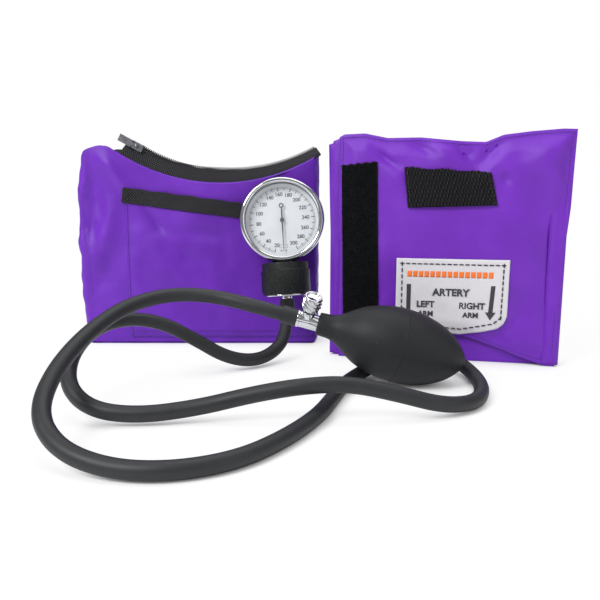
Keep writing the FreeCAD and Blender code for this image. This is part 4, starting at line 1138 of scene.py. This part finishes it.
def quad_grid(corners, columns, rows):
    """Points across a four-cornered shape, from its bottom left corner."""
    s, t = np.linspace(0, 1, columns)[None, :, None], np.linspace(0, 1, rows)[:, None, None]
    upper_left, upper_right, lower_right, lower_left = (np.array([x, 0, z], dtype=float) for x, z in corners)
    return (lower_left * (1 - s) + lower_right * s) * (1 - t) + (upper_left * (1 - s) + upper_right * s) * t


STRAP_THICK, RIBS, RIB_STEPS, STRAP_ROWS = 1.1, 40, 4, 26
strap = quad_grid(STRAP, RIBS * RIB_STEPS + 1, STRAP_ROWS)
s = np.linspace(0, 1, RIBS * RIB_STEPS + 1)[None]
t = np.linspace(0, 1, STRAP_ROWS)[:, None]
strap[:, :, 1] = 0.28 * np.cos(s * 2 * math.pi * RIBS) - 0.5 * np.sin(math.pi * s) + 0.1 * np.cos(t * 60)
strap[:, :, 2] += 0.5 * np.sin(s * 17) * (t > 0.96) + 0.25 * np.sin(s * 90) * (t > 0.96)
# Polyester webbing: matt black, ribbed every 1.3 mm in its shape, under a coarser drawn weave.
plain_weave = woven("strap_webbing", "#030303", "#0e0d10", "#2f2c32", 2.6, 5.2,
                    {"Roughness": 0.7, "IOR": 1.5, "Specular IOR Level": 0.2}, 0.6, 0.001, 0.7)
cloth("strap_webbing", laid_on(strap, STRAP_THICK + 0.6), plain_weave, "cuff",
      ["gauge_strap"], STRAP_THICK, levels=0)
ends = [cuff_line([(x0, z0), (x1, z1)], STRAP_THICK + 0.75, 30)
        for (x0, z0), (x1, z1) in (((42.6, 121.2), (45.3, 99.4)), ((91.0, 118.2), (95.2, 101.0)))]
sew("strap_stitches", ends, 1.5, 0.4, 2.1, black_thread, "cuff")

# ------------------------------------------------------------------ hook strip
# The hook half of the closure: nylon tape woven with stiff loops that are cut open into hooks. The
# hooks are 1.2 mm long, drawn thicker and further apart than the real ones.
HOOK, HOOK_STEPS, HOOK_ROWS = [(1.6, 124.2), (24.2, 126.3), (27.0, 8.0), (4.0, 8.0)], 20, 90
hook_back = quad_grid(HOOK, HOOK_STEPS, HOOK_ROWS)
frayed = np.linspace(0, 1, HOOK_ROWS)[:, None] > 0.98
hook_back[:, :, 2] += 0.35 * np.sin(np.linspace(0, 30, HOOK_STEPS))[None] * frayed
# The tape's ground is matt black nylon, rough between the hooks.
hook_tape, tree, shader, matted, _ = mottled("hook_tape", {"Roughness": 0.85, "IOR": 1.5,
                                             "Specular IOR Level": 0.15}, 700.0, 4.0, "#050607", "#1c1e21",
                                             (0.4, 0.75))
embossed(tree, shader, matted, 0.8, 0.0006)
hook_grid = laid_on(hook_back, 0.8)
cloth("hook_tape", hook_grid, hook_tape, "cuff", ["hook_strip"], 0.8, levels=0)

fuzz_tree, given, result = repeat_tree("cut_hooks", [("Density", "INPUT", "NodeSocketFloat"),
                                                     ("Seed", "INPUT", "NodeSocketInt"),
                                                     ("Hook", "INPUT", "NodeSocketObject")])
spread = put(fuzz_tree, "GeometryNodeDistributePointsOnFaces", {"Mesh": given.outputs["Geometry"],
             "Density": given.outputs["Density"], "Seed": given.outputs["Seed"]})
one = put(fuzz_tree, "GeometryNodeObjectInfo", {"Object": given.outputs["Hook"]})
leaning = put(fuzz_tree, "FunctionNodeRandomValue", {"Min": (-0.6, -0.6, -3.1), "Max": (0.6, 0.6, 3.1),
              "Seed": given.outputs["Seed"]}, data_type="FLOAT_VECTOR")
upright = put(fuzz_tree, "FunctionNodeRotateRotation", {"Rotation": spread.outputs["Rotation"],
              "Rotate By": leaning.outputs["Value"]}, rotation_space="LOCAL")
copies = put(fuzz_tree, "GeometryNodeInstanceOnPoints", {"Points": spread.outputs["Points"],
             "Instance": one.outputs["Geometry"], "Rotation": upright.outputs[0]})
realised(fuzz_tree, copies.outputs[0], given, result)


def cut_hook(name, long, thick):
    """One hook: a three-sided bristle with a bent tip, standing along Z."""
    points = []
    for x, z, r in ((0, 0, 1), (0.1, 0.7, 0.8), (0.45, 1.0, 0.45)):
        for k in range(3):
            a = 2 * math.pi / 3 * k
            points.append(((x * long + r * thick / 2 * math.cos(a)) * MM, r * thick / 2 * math.sin(a) * MM,
                           z * long * MM))
    return seed_of(name, points, quads(3, 3) + [(2, 1, 0), (6, 7, 8)])


# Stiff nylon filament: black, with a dull gloss.
bristle = mottled("hook_nylon", {"Roughness": 0.55, "IOR": 1.53, "Specular IOR Level": 0.2}, 900.0, 1.0,
                  "#020303", "#181b1e")[0]
ground = seed_of("hook_ground", [tuple(p) for p in hook_grid.reshape(-1, 3)],
                 quads(*hook_grid.shape[:2], False))
hook = cut_hook("cut_hook", 1.15, 0.3)
HOOK_DENSITY = 2.9e6  # hooks to the square metre
hooks = grown(ground, fuzz_tree, {"Density": HOOK_DENSITY, "Seed": 4, "Hook": hook, "Finish": bristle},
              Matrix.Identity(4))
bpy.data.objects.remove(hook)
tie(faced(hooks, bristle), "cuff")

# ------------------------------------------------------------------ artery label
# A white satin label sewn on with black thread. Its print is a row of plain orange blocks, two arrows
# and the words that mark where the cuff lies over the artery in either arm.
LABEL_FOOT = [(37, 33.4), (43, 27.5), (56, 21.0), (70, 18.9), (78, 18.6), (92, 21.2), (101, 23.4),
              (104.6, 26.6), (106.5, 32.5)]
LABEL_FROM, LABEL_TO, LABEL_HIGH, LABEL_ROWS = 37.6, 106.2, 66.8, 46
x = np.repeat(np.linspace(LABEL_FROM, LABEL_TO, 70)[None], LABEL_ROWS, 0)
t = np.linspace(0, 1, LABEL_ROWS)[:, None]
foot = np.interp(x, *zip(*LABEL_FOOT))
z = foot + (LABEL_HIGH - foot) * t
# Polyester satin: long floats of thread along the label give it a soft sheen one way.
satin, tree, shader = finish("satin_label", {"Roughness": 0.38, "IOR": 1.5, "Sheen Weight": 0.2})
cloth_map = put(tree, "ShaderNodeUVMap", uv_map="cloth").outputs[0]
long_threads = put(tree, "ShaderNodeMapping", {"Vector": cloth_map, "Scale": (0.5, 6.0, 1.0)})
silky = put(tree, "ShaderNodeTexNoise", {"Vector": long_threads.outputs[0], "Scale": 0.8, "Detail": 4.0})
white = put(tree, "ShaderNodeValToRGB", {"Fac": silky.outputs["Fac"]})
for stop, code in zip(white.color_ramp.elements, ("#cfccd1", "#e2e0e4")):
    stop.color = tint(code)
put(tree, shader, {"Base Color": white.outputs["Color"]})
embossed(tree, shader, silky.outputs["Fac"], 0.3, 0.0002)
cloth("label_cloth", laid_on(np.stack([x, 0 * x, z], axis=2), 0.75), satin, "cuff",
      ["artery_label"], 0.35, levels=0)


def printed(name, code):
    """Screen-printed ink that has soaked a little into the satin."""
    paler = [c * 1.3 for c in tint(code)[:3]] + [1.0]
    return mottled(name, {"Roughness": 0.6, "IOR": 1.5}, 900.0, 3.0, code, paler)[0]


title_ink, label_ink = printed("orange_print", "#e8722a"), printed("grey_print", "#343438")


def print_shape(name, outline, material):
    """A flat printed shape, from its outline on the cuff's face, clockwise from its upper left."""
    grid = quad_grid(outline, max(2, int(abs(outline[1][0] - outline[0][0]) / 1.2) + 2),
                     max(2, int(abs(outline[0][1] - outline[3][1]) / 1.2) + 2))
    cloth(name, laid_on(grid, 0.92), material, "cuff", (), 0.12, levels=0)


TITLE_FROM, TITLE_TO, TITLE_HIGH, TITLE_LOW = 44.5, 97.5, 59.0, 55.2
TITLE_BLOCKS, TITLE_WIDE = 15, 2.7
for i in range(TITLE_BLOCKS):
    start = TITLE_FROM + (TITLE_TO - TITLE_FROM) * i / TITLE_BLOCKS
    end = start + TITLE_WIDE
    print_shape("title_block_%d" % i,
                [(start, TITLE_HIGH), (end, TITLE_HIGH), (end, TITLE_LOW), (start, TITLE_LOW)], title_ink)
# Each arrow is a shaft and a head, from half its width at the top, its height there, half its width
# at the bottom and its height there.
for name, middle, shift in (("left", 45.6, 0.0), ("right", 97.0, -1.0)):
    for part, wide, top, narrow, low, moved in (("shaft", 1.3, 50.5, 1.3, 33.6, 0.0),
                                                ("head", 3.2, 33.8, 0.15, 29.0, shift)):
        print_shape("arrow_%s_%s" % (part, name),
                    [(middle - wide + moved, top), (middle + wide + moved, top),
                     (middle + narrow + shift, low), (middle - narrow + shift, low)], label_ink)
# word, middle across, middle up, height
LETTERING = [("ARTERY", 71.5, 45.6, 6.2), ("LEFT", 56.2, 37.8, 5.4), ("ARM", 56.4, 31.8, 4.6),
             ("RIGHT", 84.6, 37.4, 5.4), ("ARM", 84.0, 31.6, 4.6)]
for i, (word, x, z, size) in enumerate(LETTERING):
    spot = laid_on(np.array([[x, 0.0, z]]), 0.95)[0]
    flat_text("label_word_%d" % i, word, size, Matrix.Translation(spot) @ cuff.to_3x3().to_4x4() @ UPRIGHT,
              label_ink, "cuff", 0.3)
LABEL_SEAMS = [([(41.2, 63.6), (102.6, 63.4)], 40), ([(102.8, 63.2), (102.4, 30.6)], 30),
               ([(102.0, 30.2), (98.0, 26.6), (78, 22.4), (68, 23.0), (56, 26.0), (43, 34.6)], 16),
               ([(41.2, 63.2), (41.2, 35.4)], 30)]
dashes = [cuff_line(seam, 0.95, steps) for seam, steps in LABEL_SEAMS]
sew("label_stitches", dashes, 2.9, 0.85, 3.6, black_thread, "cuff")

# ------------------------------------------------------------------ loop patch
# The loop half of the closure, a brushed nylon pile sewn to the back of the cuff's end.
# Its tangled loops scatter light, so it is matt and almost black.
pile, tree, shader, tangled, _ = mottled("brushed_pile", {"Roughness": 0.9, "IOR": 1.5,
                                         "Specular IOR Level": 0.2}, 900.0, 5.0, "#0c0d0f", "#2b2d31")
embossed(tree, shader, tangled, 0.8, 0.0008)
dress(pile, "loop_patch")
